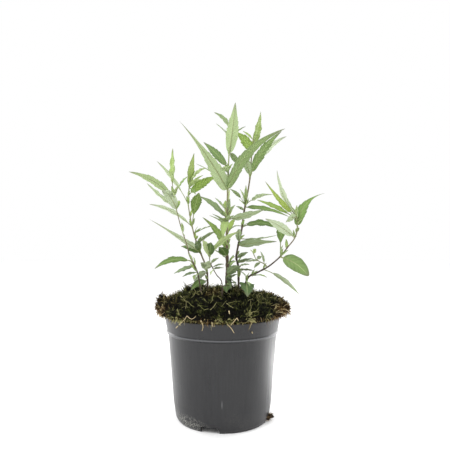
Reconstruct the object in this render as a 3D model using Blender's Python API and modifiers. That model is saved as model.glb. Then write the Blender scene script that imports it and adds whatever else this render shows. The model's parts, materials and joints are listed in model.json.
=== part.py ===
# A young bluebeard plant in its nursery pot, standing on the ground, +Z up.
# The origin is the centre of the pot's underside. The front of the plant faces -Y.
# Sizes in the tables are millimetres; meshes are built in metres.

import math
from collections import namedtuple

import bmesh
import bpy
from mathutils import Matrix, Vector, noise

MM = 0.001

# Driving sizes of the pot
POT_DIAMETER = 120.0
POT_HEIGHT = 105.0
POT_WALL = 1.2
RIM_BAND = 16.5
BASE_DIAMETER = 96.0
DRAIN_HEIGHT = 6.0
NOTCH_WIDTH = 18.0
NOTCH_TURN = -14.5
TURN_STEPS = 36

# Driving sizes of the soil and the moss
GAP = 0.4
SOIL_TOP = 98.0
MOSS_REACH = 73.0
MOSS_PEAK = 132.0
STEM_FOOT = 84.0
STEM_BEND = 139.0

# Lumps on the crown of the moss: across, deep, reach and rise
MOSS_LUMPS = [
    (-67.0, -6.0, 13.0, 7.0),
    (-28.0, 9.0, 17.0, 7.0),
    (58.0, 4.0, 14.0, 3.5),
    (20.0, 30.0, 16.0, 2.5),
]

# Driving sizes of the leaves
BLADE_THICKNESS = 0.7
PETIOLE_WIDTH = 1.5
FOLD = math.radians(14.0)
LEAF_GREEN = (0.25, 0.36, 0.13)
LEAF_ROUGHNESS = 0.6

# The plant's places are given as they look from the front: across and up in the plane of the
# pot's axis, seen from this far away and from this high, and deep behind that plane.
VIEW_DISTANCE = 470.0
EYE_HEIGHT = 180.0

# The plant is nearly as deep as it is wide: every depth in the tables is stretched by this much.
DEEPER = 1.5

# A leaf: its height on the stem, its tip (across, up, deep), the blade's width, how far its middle
# arches, how many degrees it turns to the viewer, its stalk's share of its length, how blunt its
# tip is, from 0 to 1, and how far its widest place is drawn to the stalk, where 1 is not at all.
Leaf = namedtuple("Leaf", "height tip width arch turn stalk blunt low", defaults=(0.12, 0.0, 1.0))

# Each leafy stem: where it leaves the moss (across, deep), its radius at foot and top, the points
# that it passes (across, up, deep), and its leaves from the top down.
STEMS = {
    "stem_centre": {
        "foot": (4.0, -6.0),
        "radius": (1.8, 0.6),
        "route": [
            (5, 151, -4), (4.5, 183, -2), (5, 214, 0), (5.5, 235, 1), (6.5, 266, 3), (8, 286, 4),
            (9, 301, 5),
        ],
        "leaves": [
            Leaf(273, (13.5, 326.5, 1), 14.5, -0.5, 70),
            Leaf(297, (-9, 316, 8), 7, 3, 40),
            Leaf(289, (-7, 304.5, 13), 4, 1, 30),
            Leaf(290, (24.5, 301.5, 10), 4, 1, 30),
            Leaf(275, (16, 265, -3), 8.5, 0, -60),
            Leaf(257, (-19.5, 285, 16), 10, 1.5, -58),
            Leaf(252, (-2, 256.5, -12), 7, 4, 25),
            Leaf(253, (11, 262.5, 8), 5, 2, 20),
            Leaf(254, (0.5, 264, 8), 4, 1, 10),
            Leaf(240, (-28, 262.5, 6), 5, 2, 10),
            Leaf(234, (-45, 307, -12), 17, 3, 68, low=1.2),
            Leaf(234, (65.5, 299, -4), 13.5, 11, 46, stalk=0.03, low=1.3),
            Leaf(217, (-7, 227, 8), 7, 2, 40),
            Leaf(216, (8, 226, -9), 5, 1, 30),
            Leaf(216, (13, 222, -6), 5, 2, 40),
            Leaf(217, (5, 217.5, 29), 8, 0, 90),
            Leaf(204, (-24.5, 228.5, -8), 8, 3, -35),
            Leaf(204, (44, 214.5, -4), 11, -1, 38),
            Leaf(202, (0, 184, -22), 9, 5, 0),
            Leaf(200, (-11, 210, -9), 4, 1, 20),
            Leaf(198, (-14, 208.5, -4), 4, 1, 20),
            Leaf(176, (-21, 206.5, -14), 10, 3, -44),
            Leaf(177, (4.6, 177.5, 23), 8, 0, 90),
            Leaf(165, (-4, 175, -16), 9, 2, 20),
            Leaf(163, (-8.5, 172, 6), 5, 1, 30),
            Leaf(148, (12, 167, 10), 8, 3, 45),
            Leaf(144, (19.5, 155, -14), 7, 3, 25),
            Leaf(141, (9, 131, -24), 7, 4, 30),
            Leaf(142, (15, 134, -23), 7, 3, 40),
        ],
    },
    "stem_right": {
        "foot": (17.0, 2.0),
        "radius": (0.95, 0.5),
        "route": [
            (16.5, 153, 4), (14.5, 164, 7), (16, 175, 10), (20, 193, 14), (22, 209, 18),
            (26, 230, 22), (29, 250, 25), (30, 266, 27), (32, 284, 28), (32.5, 292, 29),
        ],
        "leaves": [
            Leaf(281, (40, 317, 33), 11.5, -2, 80),
            Leaf(287, (21, 296.5, 30), 4, 1, 30),
            Leaf(275, (17.5, 295, 27), 12, 3, 55),
            Leaf(247, (63, 295.5, 18), 12, 6, 42),
            Leaf(254, (67, 291, 40), 9, 5, 62),
            Leaf(248, (21.5, 270, 8), 9, 4, 20),
            Leaf(219, (8, 236, 15), 5, 2, 40),
            Leaf(219, (53, 230, 30), 9, 4, 38, stalk=0.22),
            Leaf(222, (24.5, 240, 12), 5, 2, 20),
            Leaf(221, (18, 236, 30), 5, 2, 20),
            Leaf(217, (69.5, 207, 10), 8, 3, -35),
            Leaf(213, (14, 218, 12), 4, 1, 20),
            Leaf(196, (60, 193.5, 12), 11, 6, -36),
            Leaf(197, (7, 192, 20), 5, 3, 0),
            Leaf(184, (57, 188, 20), 9, -2, 10),
            Leaf(177, (57, 181, 2), 12, 1, 42, stalk=0.04, low=1.2),
            Leaf(180, (16.5, 194, -8), 7, 3, 20),
            Leaf(166, (14.8, 166.5, 34), 8, 0, 90),
            Leaf(158, (32, 163.5, -6), 7, 1, 0),
            Leaf(151, (33, 150.5, 4), 7, 1, 0),
            Leaf(150, (25, 143.5, -12), 5, 2, 0),
        ],
    },
    "stem_left": {
        "foot": (-16.0, -2.0),
        "radius": (1.0, 0.5),
        "route": [
            (-16, 149, 0), (-22, 167, 6), (-28, 183, 12), (-32, 198, 17), (-35, 214, 22),
            (-36, 225, 25), (-35, 236, 26), (-33, 246, 27),
        ],
        "leaves": [
            Leaf(238, (-29.5, 273.5, 29), 12, 1, 85),
            Leaf(243, (-17, 258, 36), 8, 3, 45),
            Leaf(240, (-20, 250.5, 24), 4, 1, 20),
            Leaf(236, (-20.5, 245.5, 15), 6, 4, 20),
            Leaf(237, (-28, 230, 12), 5, 2, 0),
            Leaf(219, (-68.5, 265, 22), 8, 3, 30, stalk=0.3),
            Leaf(197, (-24.5, 232, -4), 13, 4, 10, stalk=0.36),
            Leaf(229, (-5, 249.5, 18), 12, 3, 55),
            Leaf(196, (-76.5, 220, 26), 9, 5, 38),
            Leaf(170, (-76.5, 204.5, 2), 10, 1, 40, stalk=0.04, low=2.2),
            Leaf(168, (-43.5, 176, 10), 8, 2, -25),
            Leaf(171, (-28.5, 181, -8), 7, 2, 30),
            Leaf(189, (-6, 198, 18), 6, 2, 10),
            Leaf(178, (-5, 192.5, 8), 6, 2, 30),
            Leaf(140, (-33, 130, -20), 8.5, 3, -35, blunt=0.2),
            Leaf(206, (-33.5, 206.5, 52), 9, 0, 90),
            Leaf(183, (-28, 183.5, 46), 9, 0, 90),
        ],
    },
    "stem_far_left": {
        "foot": (-20.0, -15.0),
        "radius": (0.9, 0.45),
        "route": [
            (-26, 148, -16), (-34, 166, -18), (-38, 180, -20), (-43, 195, -22), (-48, 214, -24),
            (-51, 230, -26), (-53, 248, -27),
        ],
        "leaves": [
            Leaf(242, (-52, 278.5, -28), 9.5, 1, 65),
            Leaf(228, (-36.5, 249, -33), 6.5, 2, -25),
            Leaf(229, (-51, 229.5, -50), 5, 0, 90),
            Leaf(224, (-98, 254, -38), 11, 5, 35),
            Leaf(216, (-79, 242, -16), 9.5, -1, 35),
            Leaf(214, (-63, 234, -34), 8.5, 4, 45, stalk=0.04, blunt=0.6),
            Leaf(214, (-45, 224, -10), 5, 2, 0),
            Leaf(190, (-41.3, 190.5, -50), 8, 0, 90),
            Leaf(160, (-71, 152.5, -26), 10, 8, -38),
            Leaf(155, (-51, 148, -8), 8, 3, -30),
            Leaf(149, (-42, 144, -30), 5, 2, -15),
            Leaf(146, (-30, 140, -21), 7, 3, 20),
        ],
    },
    "shoot_front": {
        "foot": (-1.0, -18.0),
        "radius": (0.8, 0.45),
        "route": [(-6, 146, -20), (-10, 153, -22), (-13, 160, -24), (-14, 169, -25)],
        "leaves": [
            Leaf(165, (-21, 183, -28), 7, 2, 40),
            Leaf(167, (18.5, 192, -26), 10, 3, 38),
            Leaf(164, (-12, 180, -42), 9, 3, 15),
            Leaf(158, (-3.5, 164, -26), 4, 1, 0),
            Leaf(154, (2, 157.5, -20), 5, 1, 0),
            Leaf(152, (2, 153.5, -32), 5, 1, 0),
            Leaf(158, (-19.5, 158, -30), 5, 1, 20),
            Leaf(155, (-19, 151.5, -22), 5, 1, 20),
            Leaf(151, (-12.5, 146, -34), 5, 2, 20),
        ],
    },
    "stem_low_right": {
        "foot": (19.5, -10.0),
        "radius": (0.95, 0.5),
        "route": [
            (26, 142, -11), (37, 149, -13), (48, 155, -15), (60, 165, -17), (68, 175, -18),
            (75, 184, -19), (78, 193, -20), (77.5, 208, -21),
        ],
        "leaves": [
            Leaf(152, (81, 124.5, -32), 8, 4, 30),
            Leaf(165, (90, 145, -26), 15, 3, -62, stalk=0.1, blunt=1.0),
            Leaf(166, (62.5, 198.5, -34), 11, 5, -25, stalk=0.4),
            Leaf(185, (44.5, 205, -36), 12, 3, 65, stalk=0.16),
            Leaf(197, (107, 231.5, -12), 11.5, 8, -58, stalk=0.02, low=1.3),
            Leaf(207, (57, 255.5, -14), 10, -4, 48, low=1.2),
            Leaf(205, (44.5, 244, -32), 5.5, -1, 36, stalk=0.25),
            Leaf(204, (36, 224.5, -18), 8, 2, -38, stalk=0.25),
            Leaf(206, (66, 202, -30), 7, 2, 15),
            Leaf(190, (77, 190.5, 18), 9, 0, 90),
            Leaf(174, (67.2, 174.5, 18), 8, 0, 55),
            Leaf(145, (46.5, 143.5, -24), 6, 2, 0),
            Leaf(137.5, (26, 123.5, -36), 14, 4, -8, blunt=0.25),
            Leaf(138.5, (31, 128, -28), 8, 4, 30),
        ],
        "shoots": [
            {
                "radius": (0.6, 0.35),
                "route": [
                    (47, 154.5, -15), (43, 158, -15), (39, 160, -16), (35, 163, -17), (32, 169, -18),
                ],
                "leaves": [
                    Leaf(161, (24, 159.5, -22), 5, 1, 0),
                    Leaf(157.5, (39.5, 170, -13), 5, 1, 40),
                    Leaf(166, (28, 176, -12), 5, 2, 20),
                    Leaf(168, (35, 178, -24), 5, 1, 30),
                ],
            },
        ],
    },
    "shoot_back": {
        "foot": (6.0, 14.0),
        "radius": (0.8, 0.45),
        "route": [(5, 150, 20), (5, 166, 26), (5, 184, 31), (6, 206, 34)],
        "leaves": [
            Leaf(206, (8, 238, 38), 9, 2, 90),
            Leaf(206, (3, 224, 56), 9, 4, 0),
            Leaf(190, (-4, 205, 46), 7, 3, 0),
            Leaf(188, (14, 206, 46), 7, 3, 0),
            Leaf(168, (3, 178, 56), 9, 5, 0),
            Leaf(152, (14, 160, 40), 8, 4, 0),
        ],
    },
}

# The outline of a blade by its length: rows from its stalk to its tip, each with its place along
# the blade and its share of the full half width. A wide row and a narrow one close after it
# make a tooth that points forward.
SHORT_ROWS = [(0.0, 0.25), (0.28, 1.0), (0.50, 0.92), (0.57, 0.68), (1.0, 0.06)]
MIDDLE_ROWS = [
    (0.0, 0.20), (0.18, 0.90), (0.34, 1.05), (0.40, 0.84), (0.56, 0.88), (0.62, 0.62), (1.0, 0.05),
]
LONG_ROWS = [
    (0.0, 0.14), (0.11, 0.70), (0.24, 1.02), (0.29, 0.90), (0.41, 1.0), (0.46, 0.80),
    (0.58, 0.80), (0.63, 0.58), (1.0, 0.03),
]
BLUNT_SHARE = 0.36
MIDDLE_LENGTH = 23.0
LONG_LENGTH = 40.0


def clear_scene():
    for item in list(bpy.data.objects):
        bpy.data.objects.remove(item, do_unlink=True)


def new_collection(name):
    collection = bpy.data.collections.new(name)
    bpy.context.scene.collection.children.link(collection)
    return collection


def finish_material(name, colour, roughness):
    material = bpy.data.materials.new(name)
    material.use_nodes = True
    shader = material.node_tree.nodes["Principled BSDF"]
    shader.inputs["Base Color"].default_value = (*colour, 1.0)
    shader.inputs["Roughness"].default_value = roughness
    shader.inputs["Metallic"].default_value = 0.0
    return material


def add_object(name, mesh, collection, material=None):
    item = bpy.data.objects.new(name, mesh)
    if material:
        item.data.materials.clear()
        item.data.materials.append(material)
    collection.objects.link(item)
    return item


def mesh_from(bm, name):
    mesh = bpy.data.meshes.new(name)
    bm.to_mesh(mesh)
    bm.free()
    return mesh


def as_cutter(item):
    item.hide_render = True
    item.display_type = "WIRE"
    return item


def seen_from_front(across, up, deep):
    """The real place of a point that looks that far across and up from the front."""
    depth = deep * DEEPER
    spread = 1.0 + depth / VIEW_DISTANCE
    return Vector((across * spread, depth, EYE_HEIGHT + (up - EYE_HEIGHT) * spread)) * MM


def foot_place(plan, height):
    """A place on the upright foot of a stem, at a real height."""
    place = seen_from_front(plan["foot"][0], 0.0, plan["foot"][1])
    return Vector((place.x, place.y, height * MM))


def turned_outline(name, points, collection, material, steps=TURN_STEPS):
    """Spin an outline of (radius, height) points, in mm, once round the pot's axis."""
    bm = bmesh.new()
    corners = [bm.verts.new((radius * MM, 0.0, height * MM)) for radius, height in points]
    for upper, lower in zip(corners, corners[1:]):
        bm.edges.new((upper, lower))
    item = add_object(name, mesh_from(bm, name), collection, material)
    turn = item.modifiers.new("Turn", "SCREW")
    turn.steps = steps
    turn.render_steps = steps
    turn.use_merge_vertices = True
    turn.merge_threshold = 0.0001
    return item


def freeze(item):
    """Replace an object's mesh with its evaluated one and drop its modifiers."""
    graph = bpy.context.evaluated_depsgraph_get()
    mesh = bpy.data.meshes.new_from_object(item.evaluated_get(graph))
    item.modifiers.clear()
    item.data = mesh
    return item


def drop(item):
    bpy.data.objects.remove(item, do_unlink=True)


def join_with(item, others, operation):
    """One exact Boolean of an object with every object of a collection."""
    step = item.modifiers.new("Join", "BOOLEAN")
    step.operation = operation
    step.operand_type = "COLLECTION"
    step.collection = others
    step.solver = "EXACT"
    freeze(item)
    return item


def pot_outline():
    """The pot's outer side from the rim down, then its foot and raised drain channel."""
    rim = POT_DIAMETER / 2
    base = BASE_DIAMETER / 2
    band_foot = POT_HEIGHT - RIM_BAND
    return [
        (rim, POT_HEIGHT),
        (rim - 2.6, band_foot + 1.6),
        (rim - 2.1, band_foot + 0.9),
        (rim - 2.3, band_foot - 0.4),
        (rim - 4.4, band_foot - 1.4),
        (base + 2.6, 18.0),
        (base + 0.2, 3.0),
        (base - 1.6, 0.0),
        (base - 4.0, 0.0),
        (base - 5.0, DRAIN_HEIGHT),
        (22.5, DRAIN_HEIGHT),
        (21.0, 0.0),
        (0.0, 0.0),
    ]


def turned_place(turn, radius, height):
    """A place at an angle from the front, counted towards the right."""
    angle = math.radians(turn)
    return Vector((radius * math.sin(angle), -radius * math.cos(angle), height)) * MM


def box_cutter(name, turn, radius, size, height, collection):
    """A box that lies across a radius of the pot; size is along the rim, along the radius, up."""
    bm = bmesh.new()
    bmesh.ops.create_cube(bm, size=1.0)
    bmesh.ops.scale(bm, vec=Vector(size) * MM, verts=bm.verts)
    bmesh.ops.rotate(bm, matrix=Matrix.Rotation(math.radians(turn), 3, "Z"), verts=bm.verts)
    bmesh.ops.translate(bm, vec=turned_place(turn, radius, height), verts=bm.verts)
    return as_cutter(add_object(name, mesh_from(bm, name), collection))


def make_pot(parts, cutters):
    plastic = finish_material("pot_plastic", (0.055, 0.058, 0.06), 0.55)
    pot = turned_outline("pot", pot_outline(), parts, plastic)
    wall = pot.modifiers.new("Wall", "SOLIDIFY")
    wall.thickness = POT_WALL * MM
    wall.offset = -1.0
    base = BASE_DIAMETER / 2
    for index in range(4):
        turn = NOTCH_TURN + 90.0 * index
        box_cutter(f"notch_{index}", turn, base, (NOTCH_WIDTH, 14.0, 11.4), 0.0, cutters)
        box_cutter(f"slot_{index}", turn, base - 9.0, (11.0, 5.0, 12.0), DRAIN_HEIGHT, cutters)
    join_with(pot, cutters, "DIFFERENCE")
    for item in list(cutters.objects):
        drop(item)
    return pot


def soil_outline():
    """The root ball: the pot's inside less a small gap, with a boss in the centre of its foot."""
    rim = POT_DIAMETER / 2 - POT_WALL - GAP
    base = BASE_DIAMETER / 2 - POT_WALL - GAP
    band_foot = POT_HEIGHT - RIM_BAND
    floor = DRAIN_HEIGHT + POT_WALL + GAP
    return [
        (0.0, SOIL_TOP),
        (rim - 1.6, SOIL_TOP),
        (rim - 3.2, band_foot + 1.5),
        (rim - 4.9, band_foot + 0.2),
        (base + 0.2, floor + 0.4),
        (base - 0.6, floor),
        (20.0, floor),
        (18.6, POT_WALL + GAP),
        (0.0, POT_WALL + GAP),
    ]


def make_tuft(collection):
    """Roots and soil that reach down a drain slot and out of the right-hand notch."""
    turn = NOTCH_TURN + 90.0
    base = BASE_DIAMETER / 2
    lumps = [
        (0.0, base - 9.0, DRAIN_HEIGHT + 0.8, 3.2, 1.9, 3.4),
        (0.0, base - 7.4, 2.6, 4.6, 3.4, 2.1),
        (1.6, base - 2.6, 2.4, 4.2, 3.6, 1.9),
        (-2.8, base - 1.4, 2.2, 2.6, 3.2, 1.6),
        (2.6, base + 1.4, 2.6, 3.0, 2.8, 2.2),
        (-1.0, base + 3.4, 4.2, 2.2, 2.4, 1.8),
    ]
    for index, (aside, radius, height, wide, long, high) in enumerate(lumps):
        bm = bmesh.new()
        bmesh.ops.create_icosphere(bm, subdivisions=1, radius=1.0)
        bmesh.ops.scale(bm, vec=Vector((wide, long, high)) * MM, verts=bm.verts)
        bmesh.ops.translate(bm, vec=Vector((aside, 0.0, 0.0)) * MM, verts=bm.verts)
        bmesh.ops.rotate(bm, matrix=Matrix.Rotation(math.radians(turn), 3, "Z"), verts=bm.verts)
        bmesh.ops.translate(bm, vec=turned_place(turn, radius, height), verts=bm.verts)
        add_object(f"tuft_{index}", mesh_from(bm, f"tuft_{index}"), collection)


def make_soil(parts):
    earth = finish_material("potting_soil", (0.035, 0.022, 0.015), 0.95)
    soil = turned_outline("potting_soil", soil_outline(), parts, earth)
    tufts = new_collection("tufts")
    make_tuft(tufts)
    join_with(soil, tufts, "UNION")
    for item in list(tufts.objects):
        drop(item)
    bpy.data.collections.remove(tufts)
    return soil


def moss_outline():
    """The mound: over its crown from the centre, round its hanging edge and back underneath."""
    rim = POT_DIAMETER / 2
    under = POT_HEIGHT + 1.5 * GAP
    return [
        (0.0, MOSS_PEAK),
        (11.0, MOSS_PEAK - 0.2),
        (21.0, MOSS_PEAK - 0.9),
        (31.0, MOSS_PEAK - 2.0),
        (40.0, MOSS_PEAK - 3.5),
        (48.0, MOSS_PEAK - 5.5),
        (55.0, MOSS_PEAK - 7.5),
        (61.0, MOSS_PEAK - 9.5),
        (MOSS_REACH - 5.0, MOSS_PEAK - 11.5),
        (MOSS_REACH - 1.0, MOSS_PEAK - 16.0),
        (MOSS_REACH, under + 5.5),
        (MOSS_REACH - 2.5, under + 0.6),
        (rim + 3.0, under),
        (rim - POT_WALL - GAP, under),
        (rim - POT_WALL - GAP - 1.6, SOIL_TOP + GAP),
        (0.0, SOIL_TOP + GAP),
    ]


def moss_lift(place):
    """How far the mound's crown rises or sinks at a place, in metres."""
    coarse = noise.noise(Vector((place.x, place.y, 0.004)) * 42.0)
    fine = noise.noise(Vector((place.x, place.y, 0.020)) * 110.0)
    lift = 3.0 * coarse + 3.4 * fine
    for across, deep, reach, rise in MOSS_LUMPS:
        away = math.hypot(place.x / MM - across, place.y / MM - deep)
        lift += rise * max(0.0, 1.0 - away / reach) ** 0.8
    return lift * MM


def moss_swell(angle):
    """How far the mound's edge bulges or draws in at an angle, as a share of its radius."""
    ring = Vector((math.cos(angle), math.sin(angle), 0.35))
    return 0.04 * noise.noise(ring * 2.3) + 0.06 * noise.noise(ring * 5.1)


def make_moss(parts):
    green = finish_material("moss", (0.045, 0.052, 0.012), 0.95)
    moss = freeze(turned_outline("moss_mat", moss_outline(), parts, green))
    crown = (POT_HEIGHT + 7.0) * MM
    inside = (POT_DIAMETER / 2 + 1.0) * MM
    for vertex in moss.data.vertices:
        place = vertex.co
        radius = math.hypot(place.x, place.y)
        if radius > inside:
            swell = 1.0 + moss_swell(math.atan2(place.y, place.x)) * min(1.0, (radius - inside) / 0.006)
            place.x *= swell
            place.y *= swell
        if place.z > crown:
            place.z += moss_lift(place) * min(1.0, (place.z - crown) / 0.006)
    return moss


def stem_path(plan):
    """The stem's centre line from its foot in the soil to its tip."""
    rooted = [foot_place(plan, STEM_FOOT), foot_place(plan, STEM_BEND)]
    return rooted + [seen_from_front(*point) for point in plan["route"]]


def tube(name, path, radii, collection):
    """A round tapering stem with closed ends, as a mesh."""
    curve = bpy.data.curves.new(name, "CURVE")
    curve.dimensions = "3D"
    curve.bevel_depth = 1.0
    curve.bevel_resolution = 1
    curve.use_fill_caps = True
    spline = curve.splines.new("POLY")
    spline.points.add(len(path) - 1)
    for point, place, radius in zip(spline.points, path, radii):
        point.co = (*place, 1.0)
        point.radius = radius * MM
    line = add_object(f"{name}_line", curve, collection)
    graph = bpy.context.evaluated_depsgraph_get()
    mesh = bpy.data.meshes.new_from_object(line.evaluated_get(graph))
    bm = bmesh.new()
    bm.from_mesh(mesh)
    bmesh.ops.remove_doubles(bm, verts=bm.verts, dist=0.00001)
    bmesh.ops.recalc_face_normals(bm, faces=bm.faces)
    bm.to_mesh(mesh)
    bm.free()
    drop(line)
    return mesh


def place_at_height(path, height):
    """The first place on a path that is that high, as seen from the front."""
    for lower, upper in zip(path, path[1:]):
        low = seen_height(lower)
        high = seen_height(upper)
        if low <= height <= high:
            return lower.lerp(upper, (height - low) / (high - low))
    return path[-1]


def seen_height(place):
    spread = 1.0 + place.y / MM / VIEW_DISTANCE
    return EYE_HEIGHT + (place.z / MM - EYE_HEIGHT) / spread


def blade(name, root, leaf, collection):
    """One toothed, folded and arched leaf with its stalk, as a closed thin solid."""
    tip = seen_from_front(*leaf.tip)
    chord = tip - root
    length = chord.length / MM
    level = Vector((chord.y, -chord.x, 0.0)).normalized()
    upward = level.cross(chord).normalized()
    crest = root.lerp(tip, 0.5) + upward * (2.0 * leaf.arch * MM)
    facing = -1.0 if level.y > 0.0 else 1.0
    roll = math.radians(leaf.turn) * facing
    if length > LONG_LENGTH:
        rows = LONG_ROWS
    elif length > MIDDLE_LENGTH:
        rows = MIDDLE_ROWS
    else:
        rows = SHORT_ROWS
    narrow = PETIOLE_WIDTH / leaf.width
    stations = [(0.0, narrow)]
    for place, share in rows:
        share = max(share + BLUNT_SHARE * leaf.blunt * place, narrow * (1.0 - place))
        stations.append((leaf.stalk + (1.0 - leaf.stalk) * place**leaf.low, share))
    across = 2 if length > LONG_LENGTH else 1
    bm = bmesh.new()
    bmesh.ops.create_grid(bm, x_segments=across, y_segments=len(stations) - 1, size=1.0)
    for vertex in bm.verts:
        index = round((vertex.co.y + 1.0) / 2.0 * (len(stations) - 1))
        along, share = stations[index]
        side = vertex.co.x
        centre = root.lerp(crest, along).lerp(crest.lerp(tip, along), along)
        heading = (crest - root).lerp(tip - crest, along).normalized()
        normal = level.cross(heading)
        rolled_side = level * math.cos(roll) + normal * math.sin(roll)
        rolled_up = normal * math.cos(roll) - level * math.sin(roll)
        reach = max(0.35, share * leaf.width / 2) * MM
        fold = FOLD if across == 2 else 0.0
        vertex.co = centre + rolled_side * (side * reach * math.cos(fold))
        vertex.co += rolled_up * (abs(side) * reach * math.sin(fold))
    bmesh.ops.triangulate(bm, faces=bm.faces)
    bmesh.ops.solidify(bm, geom=bm.faces[:], thickness=BLADE_THICKNESS * MM)
    bmesh.ops.recalc_face_normals(bm, faces=bm.faces)
    return add_object(name, mesh_from(bm, name), collection)


def grow(name, plan, path, leaves, collection):
    """A stem's tube as an object, with its blades put in the collection of leaves."""
    thick, thin = plan["radius"]
    count = len(path) - 1
    radii = [thick + (thin - thick) * index / count for index in range(count + 1)]
    for index, leaf in enumerate(plan["leaves"]):
        blade(f"{name}_leaf_{index}", place_at_height(path, leaf.height), leaf, leaves)
    return add_object(name, tube(name, path, radii, collection), collection)


def make_stem(name, plan, parts):
    """A stem with its side shoots and all their leaves, joined in one solid."""
    leaves = new_collection(f"{name}_leaves")
    stem = grow(name, plan, stem_path(plan), leaves, parts)
    for index, shoot in enumerate(plan.get("shoots", [])):
        path = [seen_from_front(*point) for point in shoot["route"]]
        grow(f"{name}_shoot_{index}", shoot, path, leaves, leaves)
    stem.data.materials.append(finish_material(name, LEAF_GREEN, LEAF_ROUGHNESS))
    join_with(stem, leaves, "UNION")
    for item in list(leaves.objects):
        drop(item)
    bpy.data.collections.remove(leaves)
    return stem


def stem_hole(name, plan, collection):
    """A plain round hole for a stem, from above the moss down into the soil."""
    radius = plan["radius"][0] + GAP
    low = STEM_FOOT - GAP
    high = MOSS_PEAK + 14.0
    bm = bmesh.new()
    bmesh.ops.create_cone(
        bm, cap_ends=True, segments=8, radius1=radius * MM, radius2=radius * MM,
        depth=(high - low) * MM,
    )
    bmesh.ops.translate(bm, vec=foot_place(plan, (low + high) / 2), verts=bm.verts)
    return as_cutter(add_object(f"{name}_hole", mesh_from(bm, f"{name}_hole"), collection))


def main():
    clear_scene()
    parts = new_collection("potted_bluebeard")
    cutters = new_collection("cutters")
    make_pot(parts, cutters)
    soil = make_soil(parts)
    moss = make_moss(parts)
    for name, plan in STEMS.items():
        stem_hole(name, plan, cutters)
    join_with(soil, cutters, "DIFFERENCE")
    join_with(moss, cutters, "DIFFERENCE")
    for item in list(cutters.objects):
        drop(item)
    bpy.data.collections.remove(cutters)
    for name, plan in STEMS.items():
        make_stem(name, plan, parts)


main()
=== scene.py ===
# %% [markdown]
# # A young bluebeard in its nursery pot
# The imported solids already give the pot, the soil, the moss and the leafy stems their places and
# sizes. This lesson keeps them as a frame and builds the looks over them: finer shapes in the same
# places, a finish for every surface, and a plain studio. Each code cell makes one thing and prints
# what it made, so the cells can be run one after another.

import json
import math
import random
from collections import namedtuple
from functools import partial

import bmesh
import bpy
from mathutils import Matrix, Quaternion, Vector, noise
from mathutils.bvhtree import BVHTree

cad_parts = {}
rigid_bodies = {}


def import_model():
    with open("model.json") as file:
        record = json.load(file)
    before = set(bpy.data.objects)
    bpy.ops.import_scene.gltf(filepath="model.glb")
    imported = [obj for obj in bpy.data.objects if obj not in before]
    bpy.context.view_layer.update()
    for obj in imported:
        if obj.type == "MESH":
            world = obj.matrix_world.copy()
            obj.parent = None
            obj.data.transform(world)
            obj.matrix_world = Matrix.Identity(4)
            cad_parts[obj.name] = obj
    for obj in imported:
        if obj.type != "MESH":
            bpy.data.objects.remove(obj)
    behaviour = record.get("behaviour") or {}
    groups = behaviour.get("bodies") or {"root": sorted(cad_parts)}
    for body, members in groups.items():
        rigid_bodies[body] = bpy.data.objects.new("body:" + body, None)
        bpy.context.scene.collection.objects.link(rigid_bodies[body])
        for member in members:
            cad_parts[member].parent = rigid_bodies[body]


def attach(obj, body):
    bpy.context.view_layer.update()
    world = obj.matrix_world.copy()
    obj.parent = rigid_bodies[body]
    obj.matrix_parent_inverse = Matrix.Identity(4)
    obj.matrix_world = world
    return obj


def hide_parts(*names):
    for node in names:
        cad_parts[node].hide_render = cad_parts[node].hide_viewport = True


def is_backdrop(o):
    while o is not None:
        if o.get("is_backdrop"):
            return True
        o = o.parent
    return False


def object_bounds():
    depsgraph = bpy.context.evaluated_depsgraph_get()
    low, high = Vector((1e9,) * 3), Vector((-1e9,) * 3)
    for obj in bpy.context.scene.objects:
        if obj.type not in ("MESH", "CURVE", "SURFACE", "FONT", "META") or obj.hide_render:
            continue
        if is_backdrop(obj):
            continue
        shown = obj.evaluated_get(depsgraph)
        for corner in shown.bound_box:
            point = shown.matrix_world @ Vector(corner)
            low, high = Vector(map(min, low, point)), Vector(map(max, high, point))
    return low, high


MM = 0.001  # sizes below are millimetres, meshes are metres
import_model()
solid_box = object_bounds()
print("solids reach from", *([round(v / MM) for v in corner] for corner in solid_box))

# %% [markdown]
# ## Camera
# The photograph looks level at the plant from about half a metre, from 180 mm above the ground. A
# level camera keeps the stems upright, and a small upward shift of the sensor frames the plant, as
# a photographer does with a shift lens. The lens is as long as the sensor is wide.

# %% Camera at the photograph's place
VIEW_DISTANCE = 470.0
EYE_HEIGHT = 180.0
camera_data = bpy.data.cameras.new("camera")
camera_data.lens = 36.0
camera_data.sensor_width = 36.0
camera_data.shift_x = 0.0056
camera_data.shift_y = 0.039
camera_data.clip_start = 0.01
camera = bpy.data.objects.new("camera", camera_data)
camera.location = Vector((0.0, -VIEW_DISTANCE, EYE_HEIGHT)) * MM
camera.rotation_euler = (math.radians(90), 0.0, 0.0)
bpy.context.scene.collection.objects.link(camera)
bpy.context.scene.camera = camera
print("camera at", tuple(round(v, 3) for v in camera.location))

# %% [markdown]
# ## Colours and shader nodes
# A colour is written as it looks on a screen, as a hex value. Shaders count in linear light, so one
# function turns every colour over. Another adds one shader node with its settings, its stops and
# its links, so that each material below reads as a short list of what the surface does. In such a
# list a name with a capital is a socket of the node, and any other name is one of its settings. A
# MapRange is given its value, the range that it comes from and the range that it goes to.

# %% Colour and node helpers
def linear(hex_colour):
    """The linear red, green, blue and alpha of an sRGB hex colour."""
    parts = [int(hex_colour[i : i + 2], 16) / 255 for i in (1, 3, 5)]
    return [v / 12.92 if v <= 0.04045 else ((v + 0.055) / 1.055) ** 2.4 for v in parts] + [1.0]


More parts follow.
